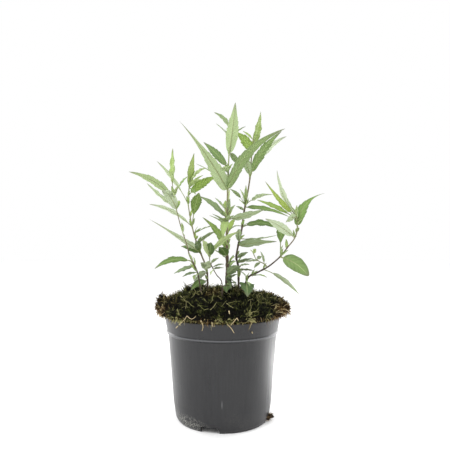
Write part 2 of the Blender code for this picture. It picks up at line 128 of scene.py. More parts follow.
def add_node(material, kind, *values, stops=(), take=None, **named):
    """Add a shader node and return its output. Values fill the node's sockets in order; named ones
    go to the socket or setting of that name. An output is linked, and a hex colour turned linear."""
    node = material.node_tree.nodes.new("ShaderNode" + kind)
    for name, value in named.items():
        if name[0].islower():
            setattr(node, name, value)
    given = list(enumerate(values)) + [(k.replace("_", " "), v) for k, v in named.items() if k[0].isupper()]
    for name, value in given:
        socket = [s for s in node.inputs if s.enabled and s.name == name] or [node.inputs[name]]
        if isinstance(value, bpy.types.NodeSocket):
            material.node_tree.links.new(value, socket[0])
        else:
            socket[0].default_value = linear(value) if isinstance(value, str) else value
    for index, (place, colour) in enumerate(stops):
        ramp = node.color_ramp.elements
        stop = ramp[index] if index < 2 else ramp.new(place)
        stop.position = place
        stop.color = linear(colour)
    return [s for s in node.outputs if s.enabled and take in (None, s.name)][0]


def new_material(name, **values):
    """A material with values on its shader's own sockets, its shader, and add_node bound to it."""
    material = bpy.data.materials.new(name)
    material.use_nodes = True
    shader = material.node_tree.nodes["Principled BSDF"]
    for socket, value in values.items():
        shader.inputs[socket.replace("_", " ")].default_value = value
    return material, shader, partial(add_node, material)


def feed(shader, **outputs):
    """Link outputs to the shader's sockets."""
    for socket, output in outputs.items():
        shader.id_data.links.new(output, shader.inputs[socket.replace("_", " ")])


print("white turned linear:", linear("#FFFFFF"))

# %% [markdown]
# ## Studio
# The photograph is a cut-out on pure white: the ground has no horizon and hardly a shadow. A wide
# white floor under a white sky gives that, and it also lights the pot's flanks, which shine much
# paler than its front. One large soft lamp from the upper left gives the leaves their direction,
# two wide ones behind brighten the pot's edges, and a low one at the right lights the floor that
# the pot's foot mirrors. The plain colour transform keeps white white.

# %% Floor, sky and lamps
bpy.context.scene.view_settings.view_transform = "Standard"
white_paper, paper_shader, node = new_material("white_paper", Base_Color=linear("#FFFFFF"), Roughness=0.95)
paper_grain = node("TexNoise", Scale=900.0, Detail=2.0)
paper_bump = node("Bump", Height=paper_grain, Distance=0.0001, Strength=0.2)
feed(paper_shader, Normal=paper_bump)
floor_bm = bmesh.new()
bmesh.ops.create_grid(floor_bm, x_segments=4, y_segments=4, size=4.0)
floor_mesh = bpy.data.meshes.new("floor")
floor_bm.to_mesh(floor_mesh)
floor_bm.free()
floor_mesh.materials.append(white_paper)
floor = bpy.data.objects.new("floor", floor_mesh)
bpy.context.scene.collection.objects.link(floor)
floor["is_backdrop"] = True

sky = bpy.data.worlds.new("white_sky")
bpy.context.scene.world = sky
sky.use_nodes = True
sky.node_tree.nodes["Background"].inputs["Color"].default_value = linear("#FFFFFF")
sky.node_tree.nodes["Background"].inputs["Strength"].default_value = 1.0

Lamp = namedtuple("Lamp", "name place aim size watts")
PLANT = (0.0, 0.0, 0.17)
LAMPS = [
    Lamp("key", (-0.9, -0.8, 1.5), PLANT, 0.9, 16.0),
    Lamp("right_edge", (0.95, 0.85, 0.3), PLANT, 1.1, 14.0),
    Lamp("left_edge", (-0.95, 0.75, 0.3), PLANT, 0.9, 8.0),
    Lamp("right_floor", (0.19, 0.1, 0.085), (0.19, 0.1, 0.0), 0.14, 0.3),
]
for lamp in LAMPS:
    lamp_data = bpy.data.lights.new(lamp.name, "AREA")
    lamp_data.shape = "DISK"
    lamp_data.size = lamp.size
    lamp_data.energy = lamp.watts
    lamp_object = bpy.data.objects.new(lamp.name, lamp_data)
    lamp_object.location = lamp.place
    towards = Vector(lamp.aim) - Vector(lamp.place)
    lamp_object.rotation_euler = towards.to_track_quat("-Z", "Y").to_euler()
    bpy.context.scene.collection.objects.link(lamp_object)
print("studio with", len(LAMPS), "lamps")

# %% [markdown]
# ## Helpers for pieces
# Every piece of the plant becomes one mesh at the origin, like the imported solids, so that a pattern
# in object coordinates stays where it is. A piece made of many small shapes, such as moss, pours
# them one after another in one bmesh. Each small shape first carries its own marks, numbers on its
# points that the material reads, such as a leaf's age.

# %% Piece helpers
def clamp(value):
    """The value, kept from 0 to 1."""
    return min(1.0, max(0.0, value))


def waver(chance, reach):
    """A random direction with parts of up to reach, to add to another."""
    return Vector([chance.uniform(-reach, reach) for _ in range(3)])


def pour(whole, small, **marks):
    """Pour a small bmesh in a larger one, with a value for each of its marks."""
    for name, value in marks.items():
        layer = small.verts.layers.float.get(name) or small.verts.layers.float.new(name)
        for vertex in small.verts:
            vertex[layer] = value
    mesh = bpy.data.meshes.new("small")
    small.to_mesh(mesh)
    small.free()
    whole.from_mesh(mesh)
    bpy.data.meshes.remove(mesh)


def finish_piece(name, whole, materials, nodes, sharp=40.0):
    """Make a bmesh a piece: smooth shaded, riding the plant, standing for its CAD nodes."""
    mesh = bpy.data.meshes.new(name)
    whole.to_mesh(mesh)
    whole.free()
    for material in materials:
        mesh.materials.append(material)
    mesh.shade_smooth()
    mesh.set_sharp_from_angle(angle=math.radians(sharp))
    piece = bpy.data.objects.new(name, mesh)
    bpy.context.scene.collection.objects.link(piece)
    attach(piece, "root")
    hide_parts(*nodes)
    print(name, "has", sum(len(face.vertices) - 2 for face in mesh.polygons), "triangles")
    return piece


def settle(piece):
    """Apply a piece's modifiers to its mesh."""
    graph = bpy.context.evaluated_depsgraph_get()
    mesh = bpy.data.meshes.new_from_object(piece.evaluated_get(graph))
    piece.modifiers.clear()
    piece.data = mesh


def tube(centres, radii, sides):
    """A closed tapering tube on a line: a grid wrapped round it, its UV map round and along."""
    bm = bmesh.new()
    bm.loops.layers.uv.new("UVMap")
    rings = len(centres) - 1
    bmesh.ops.create_grid(bm, x_segments=sides, y_segments=rings, size=1.0, calc_uvs=True)
    headings = []
    for index in range(rings + 1):
        ahead = centres[min(index + 1, rings)] - centres[max(index - 1, 0)]
        headings.append(ahead.normalized())
    aside = headings[0].orthogonal().normalized()
    asides = []
    for heading in headings:
        aside = (aside - heading * aside.dot(heading)).normalized()
        asides.append(aside)
    for vertex in bm.verts:
        index = round((vertex.co.y + 1.0) / 2.0 * rings)
        turn = (vertex.co.x + 1.0) * math.pi
        across = asides[index] * math.cos(turn) + headings[index].cross(asides[index]) * math.sin(turn)
        vertex.co = centres[index] + across * radii[index]
    bmesh.ops.remove_doubles(bm, verts=bm.verts, dist=0.000001)
    bmesh.ops.holes_fill(bm, edges=bm.edges, sides=0)
    bmesh.ops.recalc_face_normals(bm, faces=bm.faces)
    return bm


def smooth_line(points, step):
    """Even steps on a smooth curve through the points."""
    line = []
    for index, (start, end) in enumerate(zip(points, points[1:])):
        before = points[max(index - 1, 0)]
        after = points[min(index + 2, len(points) - 1)]
        count = max(1, round((end - start).length / step))
        for part in range(count):
            t = part / count
            square = (2.0 * before - 5.0 * start + 4.0 * end - after) * t**2
            cube = (3.0 * start - before - 3.0 * end + after) * t**3
            line.append(0.5 * (2.0 * start + (end - before) * t + square + cube))
    line.append(points[-1])
    return line


print("helpers ready")

# %% [markdown]
# ## Places as they look from the front
# The plant's places were read from the photograph: across and up in the plane of the pot's axis,
# and deep behind that plane. A place further back has to lie wider out to look the same, so it is
# moved away from the camera's axis in step with its distance.

# %% From a look to a place
DEEPER = 1.5  # every depth in the lists below is stretched by this much


def seen_from_front(across, up, deep):
    """The real place of a point that looks that far across and up from the front."""
    depth = deep * DEEPER
    spread = 1.0 + depth / VIEW_DISTANCE
    return Vector((across * spread, depth, EYE_HEIGHT + (up - EYE_HEIGHT) * spread)) * MM


def seen_height(place):
    """How high a place looks from the front."""
    spread = 1.0 + place.y / MM / VIEW_DISTANCE
    return EYE_HEIGHT + (place.z / MM - EYE_HEIGHT) / spread


print("the pot's rim looks", round(seen_height(Vector((0.0, -60.0, 105.0)) * MM)), "mm high in front")

# %% [markdown]
# ## Nursery pot
# A nursery pot is one thin cup of moulded polypropylene. It has a deep rim band, a fine raised line
# where the band steps in, a tapering wall, and a foot with four drain notches round a raised
# channel. It could be a cone with rings added. Spinning one outline gives the band, the step, the
# foot and the floor in one go, and rounding the outline's corners first rounds every moulded edge.

# %% Spin the pot
TURN_STEPS = 144
POT_OUTLINE = [
    (60.0, 105.0), (59.7, 103.4), (57.3, 90.7), (57.9, 89.4), (57.6, 88.2), (55.9, 86.8), (50.6, 18.0),
    (48.3, 3.2), (46.6, 0.0), (44.0, 0.0), (43.0, 6.0), (22.5, 6.0), (21.0, 0.0), (0.0, 0.0),
]
POT_WALL = 1.2
DRAIN_HEIGHT = 6.0
NOTCH_TURN = -14.5  # degrees from the front to the first notch
RIM_EDGE = 104.5  # the rim's rounded edges lie above this height
RAISED_LINE = 89.1  # height of the fine line under the band


def spin_outline(outline, steps, rounding=0.0):
    """Spin (radius, height) points once round the upright axis, corners rounded by a vertex bevel."""
    bm = bmesh.new()
    corners = [bm.verts.new((radius * MM, 0.0, height * MM)) for radius, height in outline]
    for upper, lower in zip(corners, corners[1:]):
        bm.edges.new((upper, lower))
    if rounding:
        bmesh.ops.bevel(
            bm, geom=corners[1:-1], offset=rounding * MM, affect="VERTICES", segments=3, profile=0.5,
            material=-1,
        )
    bmesh.ops.spin(
        bm, geom=bm.verts[:] + bm.edges[:], axis=(0, 0, 1), cent=(0, 0, 0), angle=math.tau, steps=steps,
        use_merge=True,
    )
    bmesh.ops.remove_doubles(bm, verts=bm.verts, dist=0.00001)
    bmesh.ops.recalc_face_normals(bm, faces=bm.faces)
    return bm


def turned_place(turn, radius, height):
    """A place at an angle from the front, counted towards the right."""
    angle = math.radians(turn)
    return Vector((radius * math.sin(angle), -radius * math.cos(angle), height)) * MM


def rounded_box(turn, radius, size, height, rounding):
    """A box with rounded edges that lies across a radius of the pot, for cutting."""
    bm = bmesh.new()
    bmesh.ops.create_cube(bm, size=1.0)
    bmesh.ops.scale(bm, vec=Vector(size) * MM, verts=bm.verts)
    bmesh.ops.bevel(
        bm, geom=bm.edges[:], offset=rounding * MM, affect="EDGES", segments=3, profile=0.5, material=-1
    )
    bmesh.ops.rotate(bm, matrix=Matrix.Rotation(math.radians(turn), 3, "Z"), verts=bm.verts)
    bmesh.ops.translate(bm, vec=turned_place(turn, radius, height), verts=bm.verts)
    mesh = bpy.data.meshes.new("drain_cut")
    bm.to_mesh(mesh)
    bm.free()
    return bpy.data.objects.new("drain_cut", mesh)


pot_bm = spin_outline(POT_OUTLINE, TURN_STEPS, rounding=0.35)
bmesh.ops.solidify(pot_bm, geom=pot_bm.faces[:], thickness=POT_WALL * MM)
rim_edges = [
    edge
    for edge in pot_bm.edges
    if min(vertex.co.z for vertex in edge.verts) > RIM_EDGE * MM
    and abs(edge.verts[0].co.xy.length - edge.verts[1].co.xy.length) < 0.0003
]
bmesh.ops.bevel(
    pot_bm, geom=rim_edges, offset=0.4 * MM, affect="EDGES", segments=2, profile=0.5, material=-1
)
print("pot shell has", len(pot_bm.faces), "faces and", len(rim_edges), "rounded rim edges")

# %% [markdown]
# ## Drain notches and floor slots
# Four notches in the foot let water out from under the pot, and a slot in the floor behind each one
# lets it down from the soil. The mould has blocks there. Boxes with rounded edges are cut out of
# the finished wall with one exact Boolean, so the notches keep the wall's true thickness.

# %% Boxes that cut the drain notches and slots
drain_cuts = bpy.data.collections.new("drain_cuts")
for index in range(4):
    turn = NOTCH_TURN + 90.0 * index
    drain_cuts.objects.link(rounded_box(turn, 48.0, (18.0, 14.0, 11.4), 0.0, 1.2))
    drain_cuts.objects.link(rounded_box(turn, 39.0, (11.0, 5.0, 12.0), DRAIN_HEIGHT, 1.0))

# %% [markdown]
# ## Black polypropylene
# Pots are moulded from recycled polypropylene coloured with soot. It is a soft satin black. Seen
# square on it stays dark, and at the flanks it mirrors the white surroundings, which the shader's
# own reflection gives. The mould leaves faint upright flow marks. Handling adds a film of dust,
# thickest near the foot, dried splashes and a pale scuff. The raised line under the band is painted
# pale as a painted highlight, where its edge catches the light.

# %% Finish for the pot
pot_plastic, pot_shader, node = new_material("moulded_polypropylene", IOR=1.49, Metallic=0.0)
place = node("TexCoord", take="Object")
height = node("SeparateXYZ", place, take="Z")
# Flow marks: noise about 2 mm wide, drawn out upwards over 60 mm
flow_place = node("Mapping", place, Scale=(1.0, 1.0, 0.035))
flow = node("TexNoise", flow_place, Scale=420.0, Detail=3.0)
black = node("ValToRGB", flow, stops=[(0.3, "#121215"), (0.7, "#1C1C1F")])
# Dust: soft clouds about 20 mm across, broken up by 1 mm grains, thickest near the foot
clouds = node("TexNoise", place, Scale=55.0, Detail=5.0)
grains = node("TexNoise", place, Scale=900.0, Detail=3.0)
low_down = node("MapRange", height, 0.03, 0.0, 0.04, 0.12)
cloudy = node("MapRange", clouds, 0.42, 0.72)
grainy = node("MapRange", grains, 0.4, 0.65)
dusty = node("Math", cloudy, grainy, operation="MULTIPLY")
dust = node("Math", dusty, low_down, operation="MULTIPLY")
dusted = node("Mix", dust, A=black, B="#77746C", data_type="RGBA")
# Splashes: crumbs of dried lime and soil, under 1 mm, in a streak along the front left of the foot
speckle = node("TexNoise", place, Scale=1500.0, Detail=2.0, Distortion=0.4)
spots = node("MapRange", speckle, 0.55, 0.63)
streak_place = node("Mapping", place, Location=(0.033, 0.034, -0.005), Scale=(1.0, 1.0, 2.1))
away = node("VectorMath", streak_place, operation="LENGTH")
near = node("MapRange", away, 0.027, 0.012)
broken = node("TexNoise", place, Scale=260.0, Detail=2.0)
some = node("MapRange", broken, 0.4, 0.5)
splashes = node("Math", spots, near, operation="MULTIPLY")
crumbs = node("Math", splashes, some, operation="MULTIPLY")
splashed = node("Mix", crumbs, A=dusted, B="#C4C3B8", data_type="RGBA")
# One pale upright scuff, 7 mm tall and 1 mm wide, low on the front
scuff_place = node("Mapping", place, Location=(0.0005, 0.0, -0.0046), Scale=(1.0, 0.0, 0.16))
scuff_away = node("VectorMath", scuff_place, operation="LENGTH")
scuffed = node("MapRange", scuff_away, 0.0008, 0.0002, To_Max=0.2)
in_front = node("SeparateXYZ", place, take="Y")
front_only = node("Math", in_front, -0.03, operation="LESS_THAN")
scuff = node("Math", scuffed, front_only, operation="MULTIPLY")
scuffed_colour = node("Mix", scuff, A=splashed, B="#A0A0A2", data_type="RGBA")
# Painted highlight: the raised line under the rim band is painted pale, as its edge catching the light
above_line = node("Math", height, RAISED_LINE * MM, operation="SUBTRACT")
off_line = node("Math", above_line, operation="ABSOLUTE")
painted_line_highlight = node("MapRange", off_line, 0.0009, 0.0004, To_Max=0.3)
pot_colour = node("Mix", painted_line_highlight, A=scuffed_colour, B="#8C8E92", data_type="RGBA")
satin = node("MapRange", flow, 0.3, 0.7, 0.26, 0.38)
satin_dusted = node("Math", satin, dust, operation="ADD")
ripple = node("Bump", Height=flow, Distance=0.00012, Strength=0.5)
crumb_relief = node("Bump", Height=crumbs, Distance=0.0004, Normal=ripple)
feed(pot_shader, Base_Color=pot_colour, Roughness=satin_dusted, Normal=crumb_relief)
print("pot finish has", len(pot_plastic.node_tree.nodes), "nodes")

# %% Put the pot in the frame and cut its drains
pot = finish_piece("nursery_pot", pot_bm, [pot_plastic], ["pot"])
cut = pot.modifiers.new("Drains", "BOOLEAN")
cut.operation = "DIFFERENCE"
cut.operand_type = "COLLECTION"
cut.collection = drain_cuts
cut.solver = "EXACT"
settle(pot)
for box in list(drain_cuts.objects):
    bpy.data.objects.remove(box)
bpy.data.collections.remove(drain_cuts)
pot.data.set_sharp_from_angle(angle=math.radians(40.0))
print("pot with its drains has", len(pot.data.polygons), "faces")

# %% [markdown]
# ## Root ball
# The pot is filled by peat potting soil bound with roots. Almost all of it is hidden, but it shows
# from below through the floor slots, and a crumbly tuft pokes out of the right-hand notch. The ball
# is the pot's inside spun, the tuft is a heap of roughened balls, and a few roots are thin tubes.

# %% Peat potting soil
peat, peat_shader, node = new_material("peat_potting_soil", Roughness=0.95, IOR=1.45)
place = node("TexCoord", take="Object")
# Crumbs of peat 1 to 3 mm wide with fibres between them
crumb = node("TexVoronoi", place, Scale=480.0)
fibre = node("TexNoise", place, Scale=1400.0, Detail=5.0, Distortion=1.2)
patch = node("TexNoise", place, Scale=160.0, Detail=3.0)
brown = node("ValToRGB", patch, stops=[(0.3, "#1D1712"), (0.6, "#33281E"), (0.8, "#4B3B2A")])
fibrous = node("MapRange", fibre, 0.5, 0.75, To_Max=0.6)
peat_colour = node("Mix", fibrous, A=brown, B="#7A6348", data_type="RGBA")
crumb_relief = node("Bump", Height=crumb, Distance=0.0008, Strength=0.9)
fibre_relief = node("Bump", Height=fibre, Distance=0.0004, Strength=0.8, Normal=crumb_relief)
feed(peat_shader, Base_Color=peat_colour, Normal=fibre_relief)

root_skin, root_shader, node = new_material("pale_root_skin", Roughness=0.7, IOR=1.45)
place = node("TexCoord", take="Object")
stain = node("TexNoise", place, Scale=500.0, Detail=3.0)
root_colour = node("ValToRGB", stain, stops=[(0.35, "#6B5436"), (0.65, "#A98F66")])
feed(root_shader, Base_Color=root_colour)
print("soil finishes ready")

# %% Root ball, tuft and roots
SOIL_OUTLINE = [
    (0.0, 98.0), (56.8, 98.0), (55.2, 90.0), (53.5, 88.7), (46.6, 8.0), (45.8, 7.6), (20.0, 7.6),
    (18.6, 1.6), (0.0, 1.6),
]
Lump = namedtuple("Lump", "aside radius height wide long high")
TUFT = [
    Lump(0.0, 39.0, 6.8, 3.2, 1.9, 3.4), Lump(0.0, 40.6, 2.8, 4.6, 3.4, 2.1),
    Lump(1.6, 45.4, 2.5, 4.2, 3.6, 1.9), Lump(-2.8, 46.6, 2.3, 2.6, 3.2, 1.6),
    Lump(2.6, 49.4, 2.7, 3.0, 2.8, 2.2), Lump(-1.0, 51.4, 4.1, 2.2, 2.4, 1.8),
]


def roughen(bm, scale, depth):
    """Push every point along its normal by noise; scale is bumps per metre, depth in mm."""
    bm.normal_update()
    for vertex in bm.verts:
        vertex.co += vertex.normal * (noise.fractal(vertex.co * scale, 0.7, 2.0, 3) * depth * MM)


soil_bm = spin_outline(SOIL_OUTLINE, 72)
long_edges = [edge for edge in soil_bm.edges if edge.calc_length() > 0.006]
bmesh.ops.subdivide_edges(soil_bm, edges=long_edges, cuts=3, use_grid_fill=True)
bmesh.ops.triangulate(soil_bm, faces=soil_bm.faces)
soil_bm.normal_update()
for vertex in soil_bm.verts:
    if vertex.co.z > 0.003:
        vertex.co -= vertex.normal * (abs(noise.noise(vertex.co * 260.0)) * 1.2 * MM)
TUFT_TURN = NOTCH_TURN + 90.0  # the tuft is in the right-hand notch
for lump in TUFT:
    crumb_bm = bmesh.new()
    bmesh.ops.create_icosphere(crumb_bm, subdivisions=4, radius=1.0)
    bmesh.ops.scale(crumb_bm, vec=Vector((lump.wide, lump.long, lump.high)) * MM, verts=crumb_bm.verts)
    bmesh.ops.translate(crumb_bm, vec=Vector((lump.aside, 0.0, 0.0)) * MM, verts=crumb_bm.verts)
    bmesh.ops.rotate(crumb_bm, matrix=Matrix.Rotation(math.radians(TUFT_TURN), 3, "Z"), verts=crumb_bm.verts)
    outward = turned_place(TUFT_TURN, lump.radius, lump.height)
    bmesh.ops.translate(crumb_bm, vec=outward, verts=crumb_bm.verts)
    roughen(crumb_bm, 700.0, 0.9)
    for vertex in crumb_bm.verts:
        vertex.co.z = max(vertex.co.z, 0.2 * MM)
    pour(soil_bm, crumb_bm)
finish_piece("root_ball", soil_bm, [peat], ["potting_soil"])

roots_bm = bmesh.new()
chance = random.Random(31)
for _ in range(18):
    turn = TUFT_TURN + chance.uniform(-7.0, 7.0)
    height = chance.uniform(2.5, 5.0)
    line = [turned_place(turn, 40.0, height + 1.0)]
    for radius in (44.0, 47.0, 49.5, 51.5 + chance.uniform(-1.0, 2.0)):
        turn += chance.uniform(-3.0, 3.0)
        height = min(6.5, max(1.2, height + chance.uniform(-1.0, 1.4)))
        line.append(turned_place(turn, radius, height))
    centres = smooth_line(line, 1.2 * MM)
    radii = [(0.28 - 0.2 * i / len(centres)) * MM for i in range(len(centres))]
    pour(roots_bm, tube(centres, radii, 5))
finish_piece("roots_in_notch", roots_bm, [root_skin], ["potting_soil"])

# %% [markdown]
# ## Moss cushion
# Moss and liverwort have grown over the soil and hang over the rim like a lumpy loaf. Seen close
# it is a crowd of little leafy shoots, with near-black gaps between them. A smooth mound with a
# mossy bump would look like felt. So the mound is a cushion only, painted nearly black as the shade
# in the gaps, and thousands of small shoots are set over it, all copied from four shapes of a few
# dozen faces.

# %% Cushion under the shoots
MOSS_SINK = 2.6  # the cushion lies this far under the shoots' tips
MOSS_REST = 105.5  # height at which the mat rests on the rim
CROWN_FOOT = 112.0  # height above which the crown's lumps begin
EDGE_START = 61.0  # radius from which the mound's edge swells
MOSS_LUMPS = [  # across, deep, reach, rise
    (-66.0, -6.0, 12.0, 12.0), (-28.0, 9.0, 18.0, 7.0), (62.0, 4.0, 12.0, 3.5), (20.0, 30.0, 16.0, 1.5),
]
MOSS_OUTLINE = [
    (0.0, 132.0), (11.0, 131.7), (21.0, 131.0), (31.0, 129.5), (40.0, 127.5), (48.0, 125.5), (55.0, 123.0),
    (61.0, 120.5), (67.0, 118.0), (70.5, 114.0), (71.0, 110.5), (69.0, 107.0), (63.0, 105.7), (58.4, 105.7),
    (56.8, 98.4), (0.0, 98.4),
]


def moss_lift(place):
    """How far the mound's crown rises or sinks at a place, in metres."""
    coarse = noise.noise(Vector((place.x, place.y, 0.004)) * 42.0)
    fine = noise.noise(Vector((place.x, place.y, 0.020)) * 110.0)
    lift = 3.0 * coarse + 3.4 * fine
    for across, deep, reach, rise in MOSS_LUMPS:
        away = math.hypot(place.x / MM - across, place.y / MM - deep)
        lift += rise * max(0.0, 1.0 - away / reach) ** 0.8
    return lift * MM


def moss_swell(angle):
    """How far the mound's edge bulges or draws in at an angle, as a share of its radius."""
    ring = Vector((math.cos(angle), math.sin(angle), 0.35))
    return 0.04 * noise.noise(ring * 2.3) + 0.06 * noise.noise(ring * 5.1)


cushion_bm = spin_outline(MOSS_OUTLINE, 120)
wide = [edge for edge in cushion_bm.edges if edge.calc_length() > 0.0045 and edge.verts[0].co.z > 0.1]
bmesh.ops.subdivide_edges(cushion_bm, edges=wide, cuts=1, use_grid_fill=True)
for vertex in cushion_bm.verts:
    radius = vertex.co.xy.length
    if radius > EDGE_START * MM:
        swell = moss_swell(math.atan2(vertex.co.y, vertex.co.x)) * min(1.0, (radius / MM - EDGE_START) / 6.0)
        vertex.co.xy *= 1.0 + swell
    if vertex.co.z > CROWN_FOOT * MM:
        vertex.co.z += moss_lift(vertex.co) * min(1.0, (vertex.co.z / MM - CROWN_FOOT) / 6.0)
bmesh.ops.triangulate(cushion_bm, faces=cushion_bm.faces)
cushion_bm.normal_update()
for vertex in cushion_bm.verts:
    if vertex.co.z > MOSS_REST * MM:
        sink = MOSS_SINK + 1.4 * noise.noise(vertex.co * 230.0)
        vertex.co -= vertex.normal * (max(0.6, sink) * MM)
        vertex.co.z = max(vertex.co.z, MOSS_REST * MM)
cushion_bm.normal_update()
print("cushion has", len(cushion_bm.faces), "faces")

# %% [markdown]
# ## Moss shoots
# Each shoot is a wiry axis with pointed leaflets that spiral round it, and it bends over with age.
# Its base is painted dark as the shade deep in the mat, and its tip is alive. Shoots in the light stay
# olive, while the dry ones at the mound's ends and along its lower edge have turned rusty brown.

# %% One shoot in a few shapes
def moss_shoot(seed, length, leaflets, bend):
    """A moss shoot that stands on the origin, as a mesh marked from 0 at its foot to 1 at its tip."""
    chance = random.Random(seed)
    bm = bmesh.new()
    upright = Matrix.Translation((0.0, 0.0, length / 2 * MM))
    bmesh.ops.create_cone(
        bm, cap_ends=True, segments=3, radius1=0.3 * MM, radius2=0.12 * MM, depth=length * MM,
        matrix=upright,
    )
    for index in range(leaflets):
        share = (index + 0.6) / leaflets
        size = (2.6 - 0.9 * share) * chance.uniform(0.85, 1.15)
        shape = (
            Matrix.Translation((0.0, 0.0, share * length * MM))
            @ Matrix.Rotation(index * 2.4 + chance.uniform(-0.3, 0.3), 4, "Z")
            @ Matrix.Rotation(math.radians(chance.uniform(18.0, 48.0)), 4, "X")
            @ Matrix.Translation((0.0, 0.0, size * 0.45 * MM))
            @ Matrix.Diagonal((0.3, 0.14, 1.0, 1.0))
        )
        bmesh.ops.create_cone(
            bm, cap_ends=True, segments=3, radius1=1.0 * MM, radius2=0.0, depth=size * MM, matrix=shape
        )
    along = bm.verts.layers.float.new("along")
    for vertex in bm.verts:
        vertex[along] = clamp(vertex.co.z / (length * MM))
        vertex.co.x += bend * MM * vertex[along] ** 2
    bmesh.ops.recalc_face_normals(bm, faces=bm.faces)
    mesh = bpy.data.meshes.new("moss_shoot")
    bm.to_mesh(mesh)
    bm.free()
    for mark in ("tone", "rust"):
        mesh.attributes.new(mark, "FLOAT", "POINT")
    return mesh


SHOOT_SHAPES = [
    moss_shoot(1, 4.6, 9, 0.8), moss_shoot(2, 5.6, 10, 2.8), moss_shoot(3, 7.0, 11, 4.2),
    moss_shoot(4, 4.0, 9, 1.6),
]
print("shoots of", [len(shape.polygons) for shape in SHOOT_SHAPES], "faces")

# %% [markdown]
# The shoots are spread by area: a face of the cushion is picked as often as it is large, and a
# place on it at random. They stand along the surface, turned a little upwards on the crown and
# downwards where the mat hangs over the rim.

# %% Spread the shoots over the cushion
CROWN_RADIUS = 42.0
SHOULDER_RADIUS = 60.0
SHOOTS = {"crown": 2900, "shoulder": 3100, "front_edge": 3000, "back_edge": 2600}
LOWEST_SHOOT = 106.8  # height over which the cushion bears shoots


def rustiness(place):
    """How brown the moss is at a place: at the mound's two ends, on lumps and along its lower edge."""
    ends = max(0.0, (abs(place.x) / MM - 44.0) / 20.0)
    lower = max(0.0, (114.0 - place.z / MM) / 6.0)
    patches = 0.9 * noise.noise(place * 48.0) - 0.12
    return clamp(0.8 * ends + 0.65 * lower + patches)


def clumping(place):
    """How full the moss grows at a place: clumps and hollows some 6 mm across, from -1 to 1."""
    return min(1.0, max(-1.0, 1.9 * noise.noise(place * 150.0) + 0.8 * noise.noise(place * 60.0)))


def face_order(face):
    """A key that puts faces in order of place, so that every run sets the shoots alike."""
    return tuple(round(number, 5) for number in face.calc_center_median())


def spread_shoots(faces, count, seed):
    """Copies of the shoots on random places of some of the cushion's faces."""
    chance = random.Random(seed)
    whole = bmesh.new()
    areas = [face.calc_area() for face in faces]
    for face in chance.choices(faces, weights=areas, k=count):
        a, b, c = sorted((vertex.co for vertex in face.verts), key=tuple)
        p = chance.random() ** 0.5
        q = chance.random()
        place = a * (1.0 - p) + b * (p * (1.0 - q)) + c * (p * q)
        lean = 0.55 if place.z > 0.118 else 0.0
        heading = face.normal + Vector((0.0, 0.0, lean))
        heading += waver(chance, 0.55)
        turn = heading.to_track_quat("Z", "X") @ Quaternion((0.0, 0.0, 1.0), chance.uniform(0.0, math.tau))
        clump = clumping(place)
        size = chance.uniform(0.45, 0.8) * (1.0 + 0.35 * clump)
        if place.z < CROWN_FOOT * MM:
            size *= 0.75
            clump += 0.35
        sink = face.normal * (-0.8 * MM)
        # Painted shade: shoots on the crown under the leaves are toned darker, and so are those in the
        # hollows between clumps, while those on the clumps are toned lighter
        shaded = clamp((place.z / MM - 111.0) / 8.0)
        tone = clamp(0.36 - 0.15 * shaded + 0.5 * clump + chance.uniform(-0.3, 0.3))
        shoot = chance.choice(SHOOT_SHAPES).copy()
        shoot.transform(Matrix.LocRotScale(place + sink, turn, Vector((size, size, size))))
        for mark, value in (("tone", tone), ("rust", rustiness(place))):
            shoot.attributes[mark].data.foreach_set("value", [value] * len(shoot.vertices))
        whole.from_mesh(shoot)
        bpy.data.meshes.remove(shoot)
    return whole


def zone_of(face):
    """Which part of the mound a face belongs to."""
    centre = face.calc_center_median()
    if centre.xy.length < CROWN_RADIUS * MM:
        return "crown"
    if centre.xy.length < SHOULDER_RADIUS * MM:
        return "shoulder"
    return "front_edge" if centre.y < 0.0 else "back_edge"


moss_parts = {}
cushion_faces = sorted(cushion_bm.faces, key=face_order)
for seed, (zone, count) in enumerate(SHOOTS.items()):
    outer = [f for f in cushion_faces if f.calc_center_median().z > LOWEST_SHOOT * MM and zone_of(f) == zone]
    area = sum(face.calc_area() for face in outer)
    moss_parts[zone] = spread_shoots(outer, count, 11 + seed)
    print(zone, "is", round(area * 1e6), "mm2, a shoot every", round(area * 1e6 / count, 1), "mm2")
crown_places = [
    (face.calc_center_median(), face.normal.copy())
    for face in cushion_faces
    if face.calc_center_median().z > 0.11 and face.calc_center_median().xy.length < 0.066
]

# %% [markdown]
# ## Finishes of the moss
# Living moss is olive green, paler at its tips, and painted dark at its base as the shade where no
# light comes. Dead moss is rusty. The cushion below is rotten peat, painted nearly black as the shade
# in the gaps between the shoots.

# %% Living and dry moss
moss_leaflets, moss_shader, node = new_material(
    "living_and_dry_moss", Roughness=0.7, IOR=1.42, Specular_IOR_Level=0.2
)
along = node("Attribute", take="Fac", attribute_name="along")
tone = node("Attribute", take="Fac", attribute_name="tone")
rust = node("Attribute", take="Fac", attribute_name="rust")
living = node(
    "ValToRGB", tone, stops=[(0.0, "#0D0F07"), (0.4, "#20260E"), (0.7, "#60652F"), (0.95, "#BDB880")]
)
dry = node("ValToRGB", tone, stops=[(0.0, "#1A0F08"), (0.4, "#3C2513"), (0.7, "#84603A"), (0.95, "#CDB98C")])
aged = node("Mix", rust, A=living, B=dry, data_type="RGBA")
# Painted shade: each shoot fades to near black at its base, as the shade deep in the mat
shade = node("MapRange", along, 0.1, 0.9, To_Max=1.0)
moss_colour = node("Mix", shade, A="#060503", B=aged, data_type="RGBA")
place = node("TexCoord", take="Object")
# Cells of a leaflet are far too fine to show, so their sparkle is drawn as 0.4 mm grains
cell_grain = node("TexNoise", place, Scale=2500.0, Detail=2.0)
grain_relief = node("Bump", Height=cell_grain, Distance=0.0002, Strength=0.5)
feed(moss_shader, Base_Color=moss_colour, Normal=grain_relief)

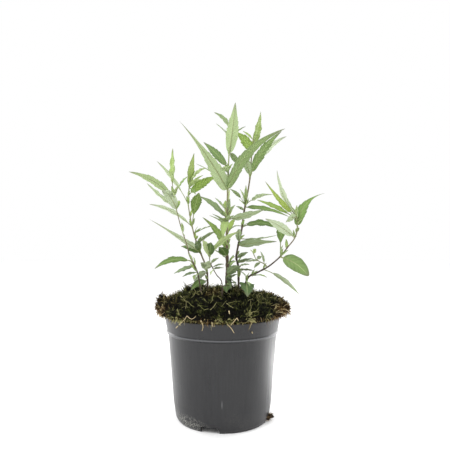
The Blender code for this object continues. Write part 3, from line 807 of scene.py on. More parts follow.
moss_peat_with_painted_shade, rotten_shader, node = new_material(
    "moss_peat_painted_shade", Roughness=0.95, IOR=1.45, Specular_IOR_Level=0.15
)
place = node("TexCoord", take="Object")
crumble = node("TexNoise", place, Scale=420.0, Detail=6.0)
# Painted shade: the peat is coloured nearly black to stand for the shade in the gaps between the shoots
painted_shade_peat_black = node("ValToRGB", crumble, stops=[(0.35, "#060504"), (0.6, "#120E09"), (0.8, "#241B10")])
crumble_relief = node("Bump", Height=crumble, Distance=0.002)
feed(rotten_shader, Base_Color=painted_shade_peat_black, Normal=crumble_relief)

# %% Moss in the frame
cushion = finish_piece("moss_cushion", cushion_bm, [moss_peat_with_painted_shade], ["moss_mat"], sharp=80.0)
for zone, zone_bm in moss_parts.items():
    finish_piece("moss_" + zone, zone_bm, [moss_leaflets], ["moss_mat"], sharp=60.0)

# %% [markdown]
# ## Runners, fringe and litter
# Long runners of moss, toned pale as painted highlights on the strands, creep over the mound, and
# below its edge dead strands hang over the rim band. A few dry straws and crumbs lie caught in the
# moss and on the pot. All are thin bent tubes.
# Runners and strands start on the cushion and sag with their own weight. The straws lie where the
# photograph shows them, found by looking from the camera to the cushion or the pot.

# %% Runners and fringe
def surface(piece):
    """A piece's faces as a tree that rays can be cast on."""
    mesh = piece.data
    corners = [vertex.co.copy() for vertex in mesh.vertices]
    return BVHTree.FromPolygons(corners, [face.vertices for face in mesh.polygons])


def strand(start, heading, length, radius, sag, chance):
    """A thin bent strand that leaves a place, wanders a little and sags."""
    line = [start]
    for _ in range(5):
        heading = heading + waver(chance, 0.45) - Vector((0.0, 0.0, sag))
        heading.normalize()
        line.append(line[-1] + heading * (length / 5.0 * MM))
    centres = smooth_line(line, length / 10.0 * MM)
    last = len(centres) - 1
    bm = tube(centres, [(radius * (1.0 - 0.7 * index / last)) * MM for index in range(last + 1)], 3)
    along = bm.verts.layers.float.new("along")
    for vertex in bm.verts:
        vertex[along] = 0.75
    return bm


cushion_tree = surface(cushion)
runners_bm = bmesh.new()
chance = random.Random(77)
for _ in range(420):
    place, normal = chance.choice(crown_places)
    heading = Vector((chance.uniform(-1.0, 1.0), chance.uniform(-1.0, 1.0), 0.25)).normalized()
    heading += normal * 0.5
    bm = strand(place + normal * (2.2 * MM), heading, chance.uniform(5.0, 10.0), 0.28, 0.16, chance)
    # Painted highlight: the runners are toned pale for the light that catches on the strands
    pour(runners_bm, bm, tone=chance.uniform(0.55, 1.0), rust=rustiness(place))
finish_piece("moss_runners", runners_bm, [moss_leaflets], ["moss_mat"], sharp=80.0)

fringe_bm = bmesh.new()
for _ in range(330):
    turn = chance.uniform(0.0, 360.0)
    height = chance.uniform(106.5, 112.0)
    outside = turned_place(turn, 100.0, height)
    towards = (turned_place(turn, 0.0, height) - outside).normalized()
    place = cushion_tree.ray_cast(outside, towards)[0]
    if place is None:
        continue
    heading = -towards * 0.8 + Vector((0.0, 0.0, -0.5))
    length = chance.uniform(2.5, 6.0) if chance.random() < 0.88 else chance.uniform(6.0, 10.0)
    bm = strand(place, heading, length, chance.uniform(0.2, 0.34), 0.4, chance)
    pour(fringe_bm, bm, tone=chance.uniform(0.2, 1.0), rust=chance.uniform(0.4, 1.0))
finish_piece("moss_fringe", fringe_bm, [moss_leaflets], ["moss_mat"], sharp=80.0)

# %% Dry straws
dry_straw, straw_shader, node = new_material("dry_grass_straw", Roughness=0.5, IOR=1.5)
place = node("TexCoord", take="Object")
# Fibres of the straw, 0.3 mm wide
fibres = node("TexNoise", place, Scale=2400.0, Detail=2.0)
straw_colour = node("ValToRGB", fibres, stops=[(0.3, "#A88F60"), (0.7, "#DCCBA0")])
fibre_relief = node("Bump", Height=fibres, Distance=0.0002)
feed(straw_shader, Base_Color=straw_colour, Normal=fibre_relief)

# The straws by the photograph's pixels, from end to end, and their radius
PIXEL = 1.0435  # millimetres to a pixel, in the plane of the pot's axis
MIDDLE_PIXEL = 222.5
TOP_HEIGHT = 433.05  # what the picture's upper edge shows in that plane
STRAWS = [
    ([(176, 328), (180, 324), (184, 320), (187, 316)], 0.45),
    ([(187, 316), (191, 319), (194, 318), (196, 316)], 0.3),
    ([(231, 325), (234, 321.5), (237, 318)], 0.5),
    ([(227, 324), (231, 328), (234, 333)], 0.5),
    ([(237, 318), (238.5, 321)], 0.35),
    ([(229, 311), (229.6, 314)], 0.6),
    ([(158, 317), (161, 315), (165, 312)], 0.25),
    ([(276, 312), (280, 310), (285, 309), (290, 313), (289, 317)], 0.3),
    ([(283, 307), (288, 304), (292, 307), (291, 311)], 0.25),
    ([(201, 321), (203, 326), (202, 331)], 0.55),
    ([(212, 322), (213, 327)], 0.5),
    ([(252, 332), (252.5, 333.5)], 0.6),
]


def on_the_moss(pixel_across, pixel_down):
    """The place on the moss or on the pot that the camera sees at a pixel of 450, a little in front."""
    eye = Vector((0.0, -VIEW_DISTANCE, EYE_HEIGHT)) * MM
    seen = seen_from_front((pixel_across - MIDDLE_PIXEL) * PIXEL, TOP_HEIGHT - PIXEL * pixel_down, -30.0)
    heading = (seen - eye).normalized()
    moss_hit = cushion_tree.ray_cast(eye, heading)[0]
    if moss_hit is not None:
        return moss_hit - heading * (3.2 * MM)
    pot_hit = pot_tree.ray_cast(eye, heading)[0]
    return (seen if pot_hit is None else pot_hit) - heading * (1.0 * MM)


pot_tree = surface(pot)
straws_bm = bmesh.new()
for pixels, radius in STRAWS:
    centres = smooth_line([on_the_moss(*pixel) for pixel in pixels], 1.0 * MM)
    last = len(centres) - 1
    radii = [radius * (1.0 - 0.5 * index / last) * MM for index in range(last + 1)]
    pour(straws_bm, tube(centres, radii, 6))
finish_piece("dry_straws", straws_bm, [dry_straw], ["moss_mat"])

# %% [markdown]
# ## Places of the stems and leaves
# The frame's stems were placed as they look from the front. The same places are listed here, so the
# finer stems and leaves grow where the solids are, with a few small leaves more. A stem has its foot
# in the soil, its radius at foot and tip, the places on its way up, and its bark: how woody it is at
# a height of 140 mm, and over how many millimetres it then turns green.
#
# A leaf is a row of numbers: its height on the stem, its tip, the blade's width, how far its middle
# arches and how many degrees it turns to the viewer. Where a leaf catches the eye, its age follows,
# 0 for a young one and 1 for an old one, and its cover of pale down. Where it has a shape of its own,
# there follow its stalk's share of its length, how blunt its tip is, how far its widest place is
# drawn to the stalk, and how strongly its tip is drawn out.

# %% What a stem and a leaf are given by
STEM_FOOT = 118.0  # a stem leaves the soil a little under the moss
Stem = namedtuple("Stem", "foot radius route leaves bark shoots", defaults=((0.85, 190.0), ()))
Leaf = namedtuple(
    "Leaf", "height tip width arch turn age down stalk blunt low drawn",
    defaults=(None, None, 0.12, 0.0, 1.0, 1.0),
)
STEMS = {}
print("a leaf is given by", *Leaf._fields)

# %% Centre stem
STEMS["stem_centre"] = Stem(foot=(4.0, -6.0), radius=(2.2, 0.6), bark=(0.95, 170.0), route=[
    (5, 151, -4), (4.5, 183, -2), (5, 214, 0), (5.5, 235, 1), (6.5, 266, 3), (8, 286, 4), (9, 301, 5),
], leaves=[
    (271, (13.5, 326.5, 1), 13.5, -0.5, 70, 0.4, 0.2, 0.05), (297, (-9, 316, 8), 7, 3, 40, 0.9, 0.0),
    (289, (-7, 304.5, 13), 3.4, 1, 30, 1.0, 0.0), (290, (24.5, 301.5, 10), 3.4, 1, 30, 1.0, 0.0),
    (275, (19, 260, 9), 6.5, 0, 60, 0.9, 0.0), (257, (-20, 285, 16), 9, 1.5, -58, 0.8, 0.05),
    (252, (-2, 256.5, -12), 7, 4, 25), (253, (11, 262.5, 8), 5, 2, 20), (254, (0.5, 264, 8), 4, 1, 10),
    (240, (-28, 262.5, 6), 5, 2, 10), (234, (-45, 307, -12), 15, 3, 68, 0.45, 0.3, 0.02, 0.0, 1.6, 1.9),
    (234, (65.5, 299, -4), 13.5, 11, -134, 0.55, 0.25, 0.03, 0.0, 1.3),
    (213, (-8, 227, 8), 5, 0.5, 55, 0.95, 0.1), (213, (8, 226, -9), 4, 0.5, 30, 0.9, 0.1),
    (210, (13.5, 219.5, -6), 3.5, 0.5, 40), (217, (5, 217.5, 29), 8, 0, 90),
    (204, (-24.5, 228.5, -8), 8, 3, -62, 0.8, 0.4), (204, (44, 214.5, -4), 11, -1, 38, 0.6, 0.5),
    (202, (0, 184, -22), 9, 5, 0, 0.3, 0.3), (200, (-11, 210, -9), 3, 1, 20),
    (198, (-14, 208.5, -4), 3, 1, 20), (174, (-21, 206.5, -14), 10.5, 3, -78, 0.4, 0.0, 0.05, 0.0, 1.3),
    (177, (4.6, 177.5, 23), 8, 0, 90), (165, (-4, 175, -16), 10.5, 2, -160, 0.85, 0.0),
    (163, (-8.5, 172, 6), 6, 1, 50), (148, (12, 167, 10), 10, 3, 60), (144, (19.5, 155, -14), 9.5, 3, 45),
    (141, (9, 131, -24), 7, 4, 30), (142, (15, 134, -23), 7, 3, 40),
    (134, (4, 127.5, -20), 8, 2, 5, 0.8, 0.0), (156, (13, 165.5, -10), 8, 1.5, -45, 0.35, 0.0),
    (140, (12, 139, -12), 6, 2, 30, 0.6, 0.0), (157, (12.5, 161, 6), 6, 1, 20),
    (138, (16, 147, -4), 7, 2, 30), (135, (15, 137.5, 6), 6, 2, 20),
])

# %% Right stem
STEMS["stem_right"] = Stem(foot=(17.0, 2.0), radius=(1.3, 1.0), bark=(1.15, 190.0), route=[
    (16.5, 153, 4), (14.5, 164, 7), (16, 175, 10), (20, 193, 14), (22, 209, 18), (26, 230, 22),
    (29, 250, 25), (30, 266, 27), (32, 284, 28), (32.5, 292, 29),
], leaves=[
    (281, (40, 317, 33), 12.5, -2, -100, 0.25, 0.1), (287, (21, 296.5, 30), 4, 1, 30),
    (273, (13.5, 295.5, 27), 12.5, 3, -125, 0.3, 0.0), (247, (62, 296.5, 18), 12.5, 5.5, -138, 0.6, 0.1),
    (254, (67, 291, 40), 11, 5, 62, 0.5, 1.0), (248, (21.5, 270, 8), 9, 4, 20, 0.7, 0.3),
    (219, (8, 236, 15), 4.5, 2, 40, 0.8, 0.1, 0.4),
    (219, (53, 230, 30), 9, 4, 38, 0.75, 0.3, 0.26, 0.0, 1.6, 1.4),
    (222, (24.5, 240, 12), 4, 2, 20, 0.3, 0.1), (221, (18, 236, 30), 3.5, 2, 20, 0.4, 0.1),
    (217, (69.5, 207, 10), 9, 3, -35, 0.7, 0.0, 0.05, 0.0, 1.3), (213, (14, 218, 12), 4, 1, 20),
    (196, (60, 193.5, 12), 12, 6, -36, 0.85, 0.0), (197, (7, 192, 20), 5, 3, 0),
    (184, (57, 188, 20), 9, -2, 10, 0.75, 0.15), (177, (57, 181, 2), 12, 1, 42, 0.6, 0.35, 0.04, 0.0, 1.2),
    (180, (16.5, 194, -8), 8, 3, 40), (166, (14.8, 166.5, 34), 8, 0, 90),
    (158, (32, 163.5, -6), 5.5, 1, 28, 0.95, 0.3), (151, (33, 150.5, 4), 5.5, 1, 25, 0.95, 0.3),
    (150, (25, 143.5, -12), 6, 2, 30, 0.9, 0.3), (142, (18.5, 154, -2), 4, 1, 40, 0.0, 0.0),
    (163, (27, 170, -4), 5, 1, 40, 0.9, 0.3), (155, (28.5, 157, 10), 5, 1, 30, 0.9, 0.3),
    (146, (22, 152, 12), 5, 1, 40, 0.8, 0.3),
])

# %% Left stem and far left stem
STEMS["stem_left"] = Stem(foot=(-16.0, -2.0), radius=(1.15, 0.7), route=[
    (-16, 149, 0), (-22, 167, 6), (-28, 183, 12), (-32, 198, 17), (-35, 214, 22), (-36, 225, 25),
    (-35, 236, 26), (-33, 246, 27),
], leaves=[
    (238, (-29.5, 273.5, 29), 10, 1, -95, 0.15, 0.25, 0.03), (243, (-17, 258, 36), 8, 3, 45),
    (240, (-20, 250.5, 24), 4, 1, 20), (236, (-20.5, 245.5, 15), 6, 4, 20),
    (237, (-28, 230, 12), 5, 2, 0, 0.6, 0.1), (219, (-68.5, 265, 22), 8, 3, 30, 0.5, 0.6, 0.3),
    (197, (-24.5, 232, -4), 12, 4, -170, 0.5, 0.0, 0.3, 0.0, 0.6),
    (229, (-5, 249.5, 18), 10.5, 3, -125, 0.3, 0.0), (196, (-76.5, 220, 26), 9, 5, 38, 0.5, 0.8),
    (170, (-76.5, 204.5, 2), 10, 1, 40, 0.4, 0.8, 0.04, 0.0, 2.0, 1.5),
    (168, (-43.5, 176, 10), 9, 2, -45, 0.85, 0.0), (171, (-28.5, 181, -8), 8.5, 2, -130, 0.8, 0.0),
    (189, (-6, 198, 18), 6, 2, 10), (178, (-5, 192.5, 8), 6, 2, 30),
    (140, (-33, 130, -20), 8.5, 3, -35, 0.8, 0.0, 0.12, 0.2), (148, (-30, 139.5, -14), 9, 2, 70, 0.6, 0.7),
    (153, (-11, 158.5, -8), 6, 1, 60, 0.3, 1.0), (152, (-23, 159, -8), 6, 1, 60, 0.3, 1.0),
    (206, (-33.5, 206.5, 52), 9, 0, 90), (183, (-28, 183.5, 46), 9, 0, 90),
])
STEMS["stem_far_left"] = Stem(foot=(-20.0, -15.0), radius=(0.9, 0.45), route=[
    (-26, 148, -16), (-34, 166, -18), (-38, 180, -20), (-43, 195, -22), (-48, 214, -24), (-51, 230, -26),
    (-53, 248, -27),
], leaves=[
    (242, (-52, 278.5, -28), 10.5, 1, -110, 0.3, 0.1, 0.03),
    (228, (-36.5, 249, -33), 7.5, 2, -50, 0.6, 0.0, 0.42), (229, (-51, 229.5, -50), 5, 0, 65),
    (224, (-98, 254, -38), 9, 5, 35, 0.4, 0.12), (216, (-79, 242, -16), 9.5, -1, 35, 0.7, 0.3),
    (214, (-63, 234, -46), 10, 4, 45, 0.6, 0.9, 0.04, 0.6), (214, (-45, 224, -10), 5, 2, 0),
    (190, (-41.3, 190.5, -50), 7, 0, 65), (160, (-71, 152.5, -26), 9, 5.5, -38, 0.7, 0.0),
    (155, (-51, 147.5, -8), 7.5, 1.2, -40, 0.95, 0.2), (149, (-42, 144, -30), 5, 1.2, -15, 1.0, 0.2),
    (146, (-30, 140, -21), 7, 3, 20, 0.3, 0.3),
])

# %% Front shoot, low right stem with its side shoot, and back shoot
STEMS["shoot_front"] = Stem(foot=(-1.0, -18.0), radius=(0.8, 0.45), route=[
    (-0.5, 137.5, -19), (-6, 146, -20), (-10, 153, -22), (-13, 160, -24), (-14, 169, -25),
], leaves=[
    (165, (-21, 183, -44), 6.5, 2, 40, 0.1, 0.3), (167, (18.5, 192, -26), 8, 3, 38),
    (164, (-12, 180, -42), 9, 3, -165, 0.9, 0.0), (158, (-3.5, 164, -26), 4, 1, 30, 0.9, 0.2),
    (154, (2, 157.5, -20), 4, 1, 30, 0.95, 0.2), (152, (2, 153.5, -32), 4, 1, 25, 0.95, 0.2),
    (158, (-19.5, 158, -30), 5, 1, 45, 0.2, 0.9), (155, (-19, 151.5, -22), 5, 1, 45, 0.2, 0.9),
    (151, (-12.5, 146, -34), 6, 2, 45, 0.2, 0.8),
])
side_shoot = Stem(foot=None, radius=(0.6, 0.35), bark=(0.5, 190.0), route=[
    (47, 154.5, -15), (43, 158, -15), (39, 160, -16), (35, 163, -17), (32, 169, -18),
], leaves=[
    (161, (24, 159.5, -22), 4.5, 1, 30, 0.95, 0.4), (157.5, (39.5, 171, -13), 5, 1, 60, 0.95, 0.3),
    (166, (29, 172.5, -14), 4, 1, 40), (168, (35, 173.5, -22), 4, 1, 50),
    (159.5, (33, 153, -12), 4, 1, 30, 0.95, 0.3), (162, (41, 165.5, -22), 4, 1, 40, 0.9, 0.4),
])
STEMS["stem_low_right"] = Stem(foot=(19.5, -10.0), radius=(1.25, 0.55), bark=(1.25, 65.0), route=[
    (26, 142, -11), (37, 149, -13), (48, 155, -15), (60, 165, -17), (68, 175, -18), (75, 184, -19),
    (78, 193, -20), (77.5, 208, -21),
], leaves=[
    (152, (81, 124.5, -32), 6.5, 3.5, 62, 0.9, 0.6, 0.25),
    (165, (90, 145, -26), 15, 3, -62, 0.65, 0.1, 0.1, 1.0),
    (166, (62.5, 200, -24), 12, 5, 155, 0.65, 0.0, 0.36, 0.0, 0.5),
    (185, (44.5, 205, -44), 9, 1.5, 60, 0.5, 0.8, 0.1),
    (197, (107, 231.5, -12), 10.5, 8, -62, 0.65, 0.0, 0.02, 0.0, 1.25, 2.6),
    (207, (57, 255.5, -14), 10, -4, 48, 0.4, 1.0, 0.12, 0.0, 1.2),
    (205, (44.5, 244, -32), 5.8, -1, -144, 0.15, 0.0, 0.2, 0.0, 1.4),
    (204, (36, 224.5, -18), 8, 2, -38, 0.3, 0.0, 0.25), (206, (66, 201, -30), 9, 2, 60, 0.7, 0.4),
    (190, (77, 190.5, 18), 9, 0, 90), (174, (67.2, 174.5, 18), 8, 0, 55),
    (145, (46.5, 143.5, -24), 6, 2, 0), (137.5, (26, 123.5, -36), 15, 4, -8, 1.0, 0.0, 0.12, 0.25),
    (138.5, (31, 128, -28), 8, 4, 30, 0.6, 0.2),
], shoots=(side_shoot,))
STEMS["shoot_back"] = Stem(foot=(6.0, 14.0), radius=(0.8, 0.45), route=[
    (5, 150, 20), (5, 166, 26), (5, 184, 31), (6, 206, 34),
], leaves=[
    (206, (8, 238, 38), 9, 2, 90), (206, (3, 224, 56), 9, 4, 0), (190, (-4, 205, 46), 7, 3, 0),
    (188, (14, 206, 46), 7, 3, 0), (168, (3, 178, 56), 9, 5, 0), (152, (14, 160, 40), 8, 4, 0),
])


def stem_points(stem):
    """A stem's places from its foot in the moss to its tip. A side shoot starts on its stem."""
    points = [seen_from_front(*point) for point in stem.route]
    if stem.foot:
        foot = seen_from_front(stem.foot[0], 0.0, stem.foot[1])
        points.insert(0, Vector((foot.x, foot.y, STEM_FOOT * MM)))
    return points


def place_at_height(points, height):
    """The first place on a line of points that looks that high from the front."""
    for lower, upper in zip(points, points[1:]):
        low = seen_height(lower)
        high = seen_height(upper)
        if low <= height <= high:
            return lower.lerp(upper, (height - low) / (high - low))
    return points[-1]


leaf_count = sum(len(part.leaves) for stem in STEMS.values() for part in (stem, *stem.shoots))
print(len(STEMS), "stems with", leaf_count, "leaves")

# %% [markdown]
# ## Leaves
# A bluebeard leaf is a lance: widest at a third of its length, with a long drawn-out tip and a few
# coarse teeth that point forward. Its midrib is a groove above and a pale ridge below, and a side
# vein runs into every tooth, with the blade puckered up between the veins. A flat card with a
# picture of a leaf would fail from the side. Here a grid is bent into each leaf. Its rows fall on
# the tips and notches of the teeth, and its UV map counts across the blade and from vein to vein,
# so that the finish's veins end exactly in the teeth.

# %% Shape of a blade
TOOTH_START = 0.24
TOOTH_END = 0.74
ROWS_A_TOOTH = 6
COLUMNS = 8
BLADE_THICKNESS = 0.4
FOLD = math.radians(14.0)  # how far each half of the blade is folded up from the midrib
CURL = 0.16  # how far the margins curl down again, PUCKER and WAVE as shares of the width
PUCKER = 0.045
WAVE = 0.10
VEIN_LEAD = 1.6  # a side vein leaves the midrib this many teeth before its own tooth


def blade_share(place, blunt, drawn):
    """The blade's half width at a place from 0 to 1 along it, as a share of its widest."""
    if not 0.0 < place < 1.0:
        return 0.0
    drawn_out = math.sin(math.pi * place**0.62) ** (0.75 if place < 0.327 else 1.02 * drawn)
    rounded = math.sin(math.pi * place**0.75) ** 0.6
    return drawn_out + (rounded - drawn_out) * blunt


def blade_rows(teeth):
    """Places along the blade for the rows of its grid, six to a tooth."""
    step = (TOOTH_END - TOOTH_START) / (teeth * ROWS_A_TOOTH)
    toothed = [TOOTH_START + step * index for index in range(teeth * ROWS_A_TOOTH + 1)]
    return [0.0, 0.02, 0.05, 0.09, 0.14, 0.19] + toothed + [0.79, 0.84, 0.89, 0.93, 0.965, 0.985, 1.0]


def vein_count(place, side, across, teeth):
    """Side veins counted from the stalk: a whole number on each vein."""
    teeth_passed = (place - TOOTH_START) / (TOOTH_END - TOOTH_START) * teeth
    return teeth_passed + (0.5 if side > 0 else 0.0) + VEIN_LEAD * (1.0 - abs(across)) - 5.0 / 6.0


def tooth_share(place, side, teeth):
    """How far a tooth stands out at a place on the margin: 0 in a notch, 1 at a tip."""
    if not TOOTH_START <= place <= TOOTH_END:
        return 0.0
    phase = (vein_count(place, side, 1.0, teeth) + 5.0 / 6.0) % 1.0
    fade = min(1.0, (place - TOOTH_START) / 0.08, (TOOTH_END - place) / 0.08)
    return fade * (phase * 1.2 if phase < 0.84 else 0.0)


def leaf_blade(root, tip, leaf, seed, depth_of_teeth):
    """A leaf blade as a bmesh, and the line and radii of the stalk and midrib beneath it."""
    chance = random.Random(seed)
    chord = tip - root
    level = Vector((chord.y, -chord.x, 0.0)).normalized()
    upward = level.cross(chord).normalized()
    crest = root.lerp(tip, 0.5) + upward * (2.0 * leaf.arch * MM)
    roll = math.radians(leaf.turn) * (-1.0 if level.y > 0.0 else 1.0)
    twist = math.radians(chance.uniform(-16.0, 16.0))
    wave = chance.uniform(0.0, math.tau)
    half = leaf.width / 2 * MM
    teeth = max(3, min(6, round(chord.length / MM * 0.085 + chance.uniform(-0.4, 0.4))))
    small = chord.length < 0.014
    rows = [0.0, 0.06, 0.16, 0.3, 0.45, 0.6, 0.75, 0.9, 1.0] if small else blade_rows(teeth)
    columns = 4 if small else COLUMNS
    narrow = 0.45 * MM

    def frame_at(place):
        """The midrib's place, and the directions across the blade and up from it."""
        along = leaf.stalk + (1.0 - leaf.stalk) * place**leaf.low
        centre = root.lerp(crest, along).lerp(crest.lerp(tip, along), along)
        heading = (crest - root).lerp(tip - crest, along).normalized()
        normal = level.cross(heading)
        turn = roll + twist * (place - 0.3)
        aside = level * math.cos(turn) + normal * math.sin(turn)
        lift = normal * math.cos(turn) - level * math.sin(turn)
        return centre, aside, lift, heading

    bm = bmesh.new()
    uv = bm.loops.layers.uv.new("UVMap")
    along_mark = bm.verts.layers.float.new("along")
    breadth_mark = bm.verts.layers.float.new("breadth")
    bmesh.ops.create_grid(bm, x_segments=columns, y_segments=len(rows) - 1, size=1.0, calc_uvs=True)
    spacing = chord.length * (TOOTH_END - TOOTH_START) / teeth
    thinning = {}
    for vertex in bm.verts:
        place = rows[round((vertex.co.y + 1.0) / 2.0 * (len(rows) - 1))]
        across = vertex.co.x
        centre, aside, lift, heading = frame_at(place)
        share = blade_share(place, min(1.0, leaf.blunt + 0.22 / leaf.drawn), leaf.drawn)
        tooth = tooth_share(place, across, teeth)
        edge = max(0.0, abs(across) - 0.5) * 2.0
        reach = max(narrow * (1.0 - place * 0.9), half * share)
        reach *= 1.0 + edge * depth_of_teeth * (tooth - 0.55) * (1.0 if share > 0.2 else 0.0)
        from_vein = math.cos(math.tau * vein_count(place, across, across, teeth))
        bulge = math.sin(math.pi * abs(across)) * from_vein
        ripple = math.sin(place * 21.0 + wave + (2.0 if across > 0 else 0.0)) * across**2
        rise = math.sin(FOLD) * abs(across) * reach
        rise -= CURL * across**2 * reach
        rise -= PUCKER * half * bulge * min(1.0, share * 1.5)
        rise += WAVE * half * ripple * share
        vertex.co = centre + aside * (across * reach * math.cos(FOLD)) + lift * rise
        vertex.co += heading * (edge * tooth * depth_of_teeth * 0.7 * spacing * min(1.0, share * 2.0))
        vertex[along_mark] = place
        vertex[breadth_mark] = min(1.0, reach / (4.0 * MM))
        thinning[vertex] = min(BLADE_THICKNESS * (1.0 - 0.5 * abs(across)) * MM, 0.6 * reach)
    for face in bm.faces:
        side = sum(loop[uv].uv.x for loop in face.loops) / 4.0 - 0.5
        for loop in face.loops:
            place = loop.vert[along_mark]
            loop[uv].uv.y = vein_count(place, side, loop[uv].uv.x * 2.0 - 1.0, teeth)
    bm.normal_update()
    lower = bmesh.ops.duplicate(bm, geom=bm.verts[:] + bm.edges[:] + bm.faces[:])
    for vertex, thickness in thinning.items():
        lower["vert_map"][vertex].co = vertex.co - vertex.normal * thickness
    lower_side = [part for part in lower["geom"] if isinstance(part, bmesh.types.BMFace)]
    bmesh.ops.reverse_faces(bm, faces=lower_side)
    bmesh.ops.bridge_loops(bm, edges=[edge for edge in bm.edges if len(edge.link_faces) == 1])
    bmesh.ops.recalc_face_normals(bm, faces=bm.faces)
    for face in lower_side:
        face.material_index = 1

    ribs = []
    radii = []
    stalk_radius = max(0.25, min(0.8, 0.25 + leaf.width * 0.035)) * MM
    steps = 8 if small else 16
    for index in range(steps + 1):
        share = index / steps
        if share * 0.9 < leaf.stalk or leaf.stalk == 0.0:
            along = share * 0.9
            centre = root.lerp(crest, along).lerp(crest.lerp(tip, along), along)
            ribs.append(centre)
        else:
            place = ((share * 0.9 - leaf.stalk) / (1.0 - leaf.stalk)) ** (1.0 / leaf.low)
            centre, _, lift, _ = frame_at(place)
            ribs.append(centre - lift * (BLADE_THICKNESS * 0.8 * MM))
        radii.append(stalk_radius * (1.0 - 0.88 * share) + 0.03 * MM)
    return bm, ribs, radii


print("a leaf with 5 teeth has", len(blade_rows(5)), "rows")

# %% [markdown]
# ## Leaf finishes
# Young leaves at the shoot tips are a fresh yellow-green; they turn a duller, slightly bluish green
# with age, and their very tips wither. The upper side is thinly downy, so it is matt with a soft
# sheen. The underside is covered with pale grey down. The veins come from the blade's own UV map.

# %% Upper side of the leaves
def vein_lines(node, midrib_width, vein_width):
    """Masks of the midrib and of the side veins from the UV map, and their height for the relief."""
    uv_place = node("UVMap", uv_map="UVMap")
    across = node("SeparateXYZ", uv_place, take="X")
    counted = node("SeparateXYZ", uv_place, take="Y")
    centred = node("Math", across, 0.5, operation="SUBTRACT")
    from_rib = node("Math", centred, operation="ABSOLUTE")
    midrib = node("MapRange", from_rib, midrib_width, midrib_width * 0.3)
    folded = node("Math", counted, 0.5, operation="PINGPONG")
    veins = node("MapRange", folded, vein_width, vein_width * 0.3)
    along = node("Attribute", take="Fac", attribute_name="along")
    before_tip = node("MapRange", along, 0.84, 0.7)
    faded = node("Math", veins, before_tip, operation="MULTIPLY")
    drawn = node("Math", midrib, faded, operation="MAXIMUM")
    # Where the blade narrows, so do its veins, and their relief is lower
    breadth = node("Attribute", take="Fac", attribute_name="breadth")
    height = node("Math", drawn, breadth, operation="MULTIPLY")
    return midrib, faded, along, height, from_rib


leaf_upper, upper_shader, node = new_material(
    "bluebeard_leaf_upper_side", Roughness=0.58, IOR=1.42, Sheen_Weight=0.02, Sheen_Roughness=0.5
)
age = node("Attribute", take="Fac", attribute_name="age")
tone = node("Attribute", take="Fac", attribute_name="tone")
greens = node(
    "ValToRGB", age, stops=[(0.0, "#A9BC55"), (0.3, "#90AA53"), (0.65, "#728F49"), (1.0, "#4A6233")]
)
place = node("TexCoord", take="Object")
# Uneven colour: patches about 5 mm across, and each leaf a little lighter or darker
patches = node("TexNoise", place, Scale=190.0, Detail=3.0)
mottled = node("Math", patches, tone, operation="ADD")
value = node("MapRange", mottled, 0.3, 1.7, 0.8, 1.1)
toned = node("HueSaturation", Color=greens, Value=value)
midrib, veins, along, vein_height, from_rib = vein_lines(node, 0.05, 0.13)
# The blade is a little darker towards its margin, where it bends away from the light
margin = node("MapRange", from_rib, 0.2, 0.5, 1.06, 0.8)
edged = node("HueSaturation", Color=toned, Value=margin)
blade_dark = node("HueSaturation", Color=edged, Value=0.8, Saturation=1.08)
vein_soft = node("Math", veins, 0.32, operation="MULTIPLY")
veined = node("Mix", vein_soft, A=edged, B=blade_dark, data_type="RGBA")
rib_soft = node("Math", midrib, 0.45, operation="MULTIPLY")
ribbed = node("Mix", rib_soft, A=veined, B="#B9C889", data_type="RGBA")
downy = node("Attribute", take="Fac", attribute_name="downy")
bloom = node("MapRange", downy, To_Min=0.0, To_Max=0.7)
bloomed = node("Mix", bloom, A=ribbed, B="#B7C4A2", data_type="RGBA")
withered = node("MapRange", along, 0.8, 1.0, To_Max=0.75)
tipped = node("Mix", withered, A=bloomed, B="#6E6C58", data_type="RGBA")
vein_relief = node("Bump", Height=vein_height, Distance=0.0004, Strength=0.6, invert=True)
feed(upper_shader, Base_Color=tipped, Normal=vein_relief)

# %% Underside of the leaves
leaf_under, under_shader, node = new_material(
    "bluebeard_leaf_downy_underside", Roughness=0.75, IOR=1.42, Sheen_Weight=0.04, Sheen_Roughness=0.4
)
age = node("Attribute", take="Fac", attribute_name="age")
pale_greens = node("ValToRGB", age, stops=[(0.0, "#A5B96C"), (0.5, "#94AA70"), (1.0, "#7A9060")])
place = node("TexCoord", take="Object")
# Down: hairs are 0.02 mm thick, so their tufts are drawn 0.3 mm wide
down = node("TexNoise", place, Scale=3200.0, Detail=3.0, Distortion=1.5)
midrib, veins, along, vein_height, _ = vein_lines(node, 0.07, 0.11)
raised = node("Math", midrib, veins, operation="MAXIMUM")
raised_soft = node("Math", raised, 0.38, operation="MULTIPLY")
tufts = node("MapRange", down, 0.35, 0.7, To_Max=0.16)
downy = node("Attribute", take="Fac", attribute_name="downy")
bloom = node("Math", downy, 0.7, tufts, operation="MULTIPLY_ADD", use_clamp=True)
greyed = node("Mix", bloom, A=pale_greens, B="#BFC9B0", data_type="RGBA")
ribbed = node("Mix", raised_soft, A=greyed, B="#BECB9A", data_type="RGBA")
withered = node("MapRange", along, 0.8, 1.0, To_Max=0.75)
under_colour = node("Mix", withered, A=ribbed, B="#7C7B6A", data_type="RGBA")
ridge_relief = node("Bump", Height=vein_height, Distance=0.0004, Strength=0.5)
feed(under_shader, Base_Color=under_colour, Normal=ridge_relief)
print("leaf finishes ready")

# %% [markdown]
# ## Stems
# The stems are slender, nearly round and thinly downy. Low down they have turned woody, brown and
# finely ridged, and further up they are green with a grey bloom. They swell a little where a pair
# of leaves stands. Each is a tube on a smooth curve through its places; its radius tapers, with a
# small bulge added near every leaf.

# %% Finish of the stems
stem_skin, skin_shader, node = new_material(
    "woody_to_green_stem_bark", Roughness=0.6, IOR=1.45, Sheen_Weight=0.3, Sheen_Roughness=0.5
)
ripeness = node("Attribute", take="Fac", attribute_name="ripeness")
place = node("TexCoord", take="Object")
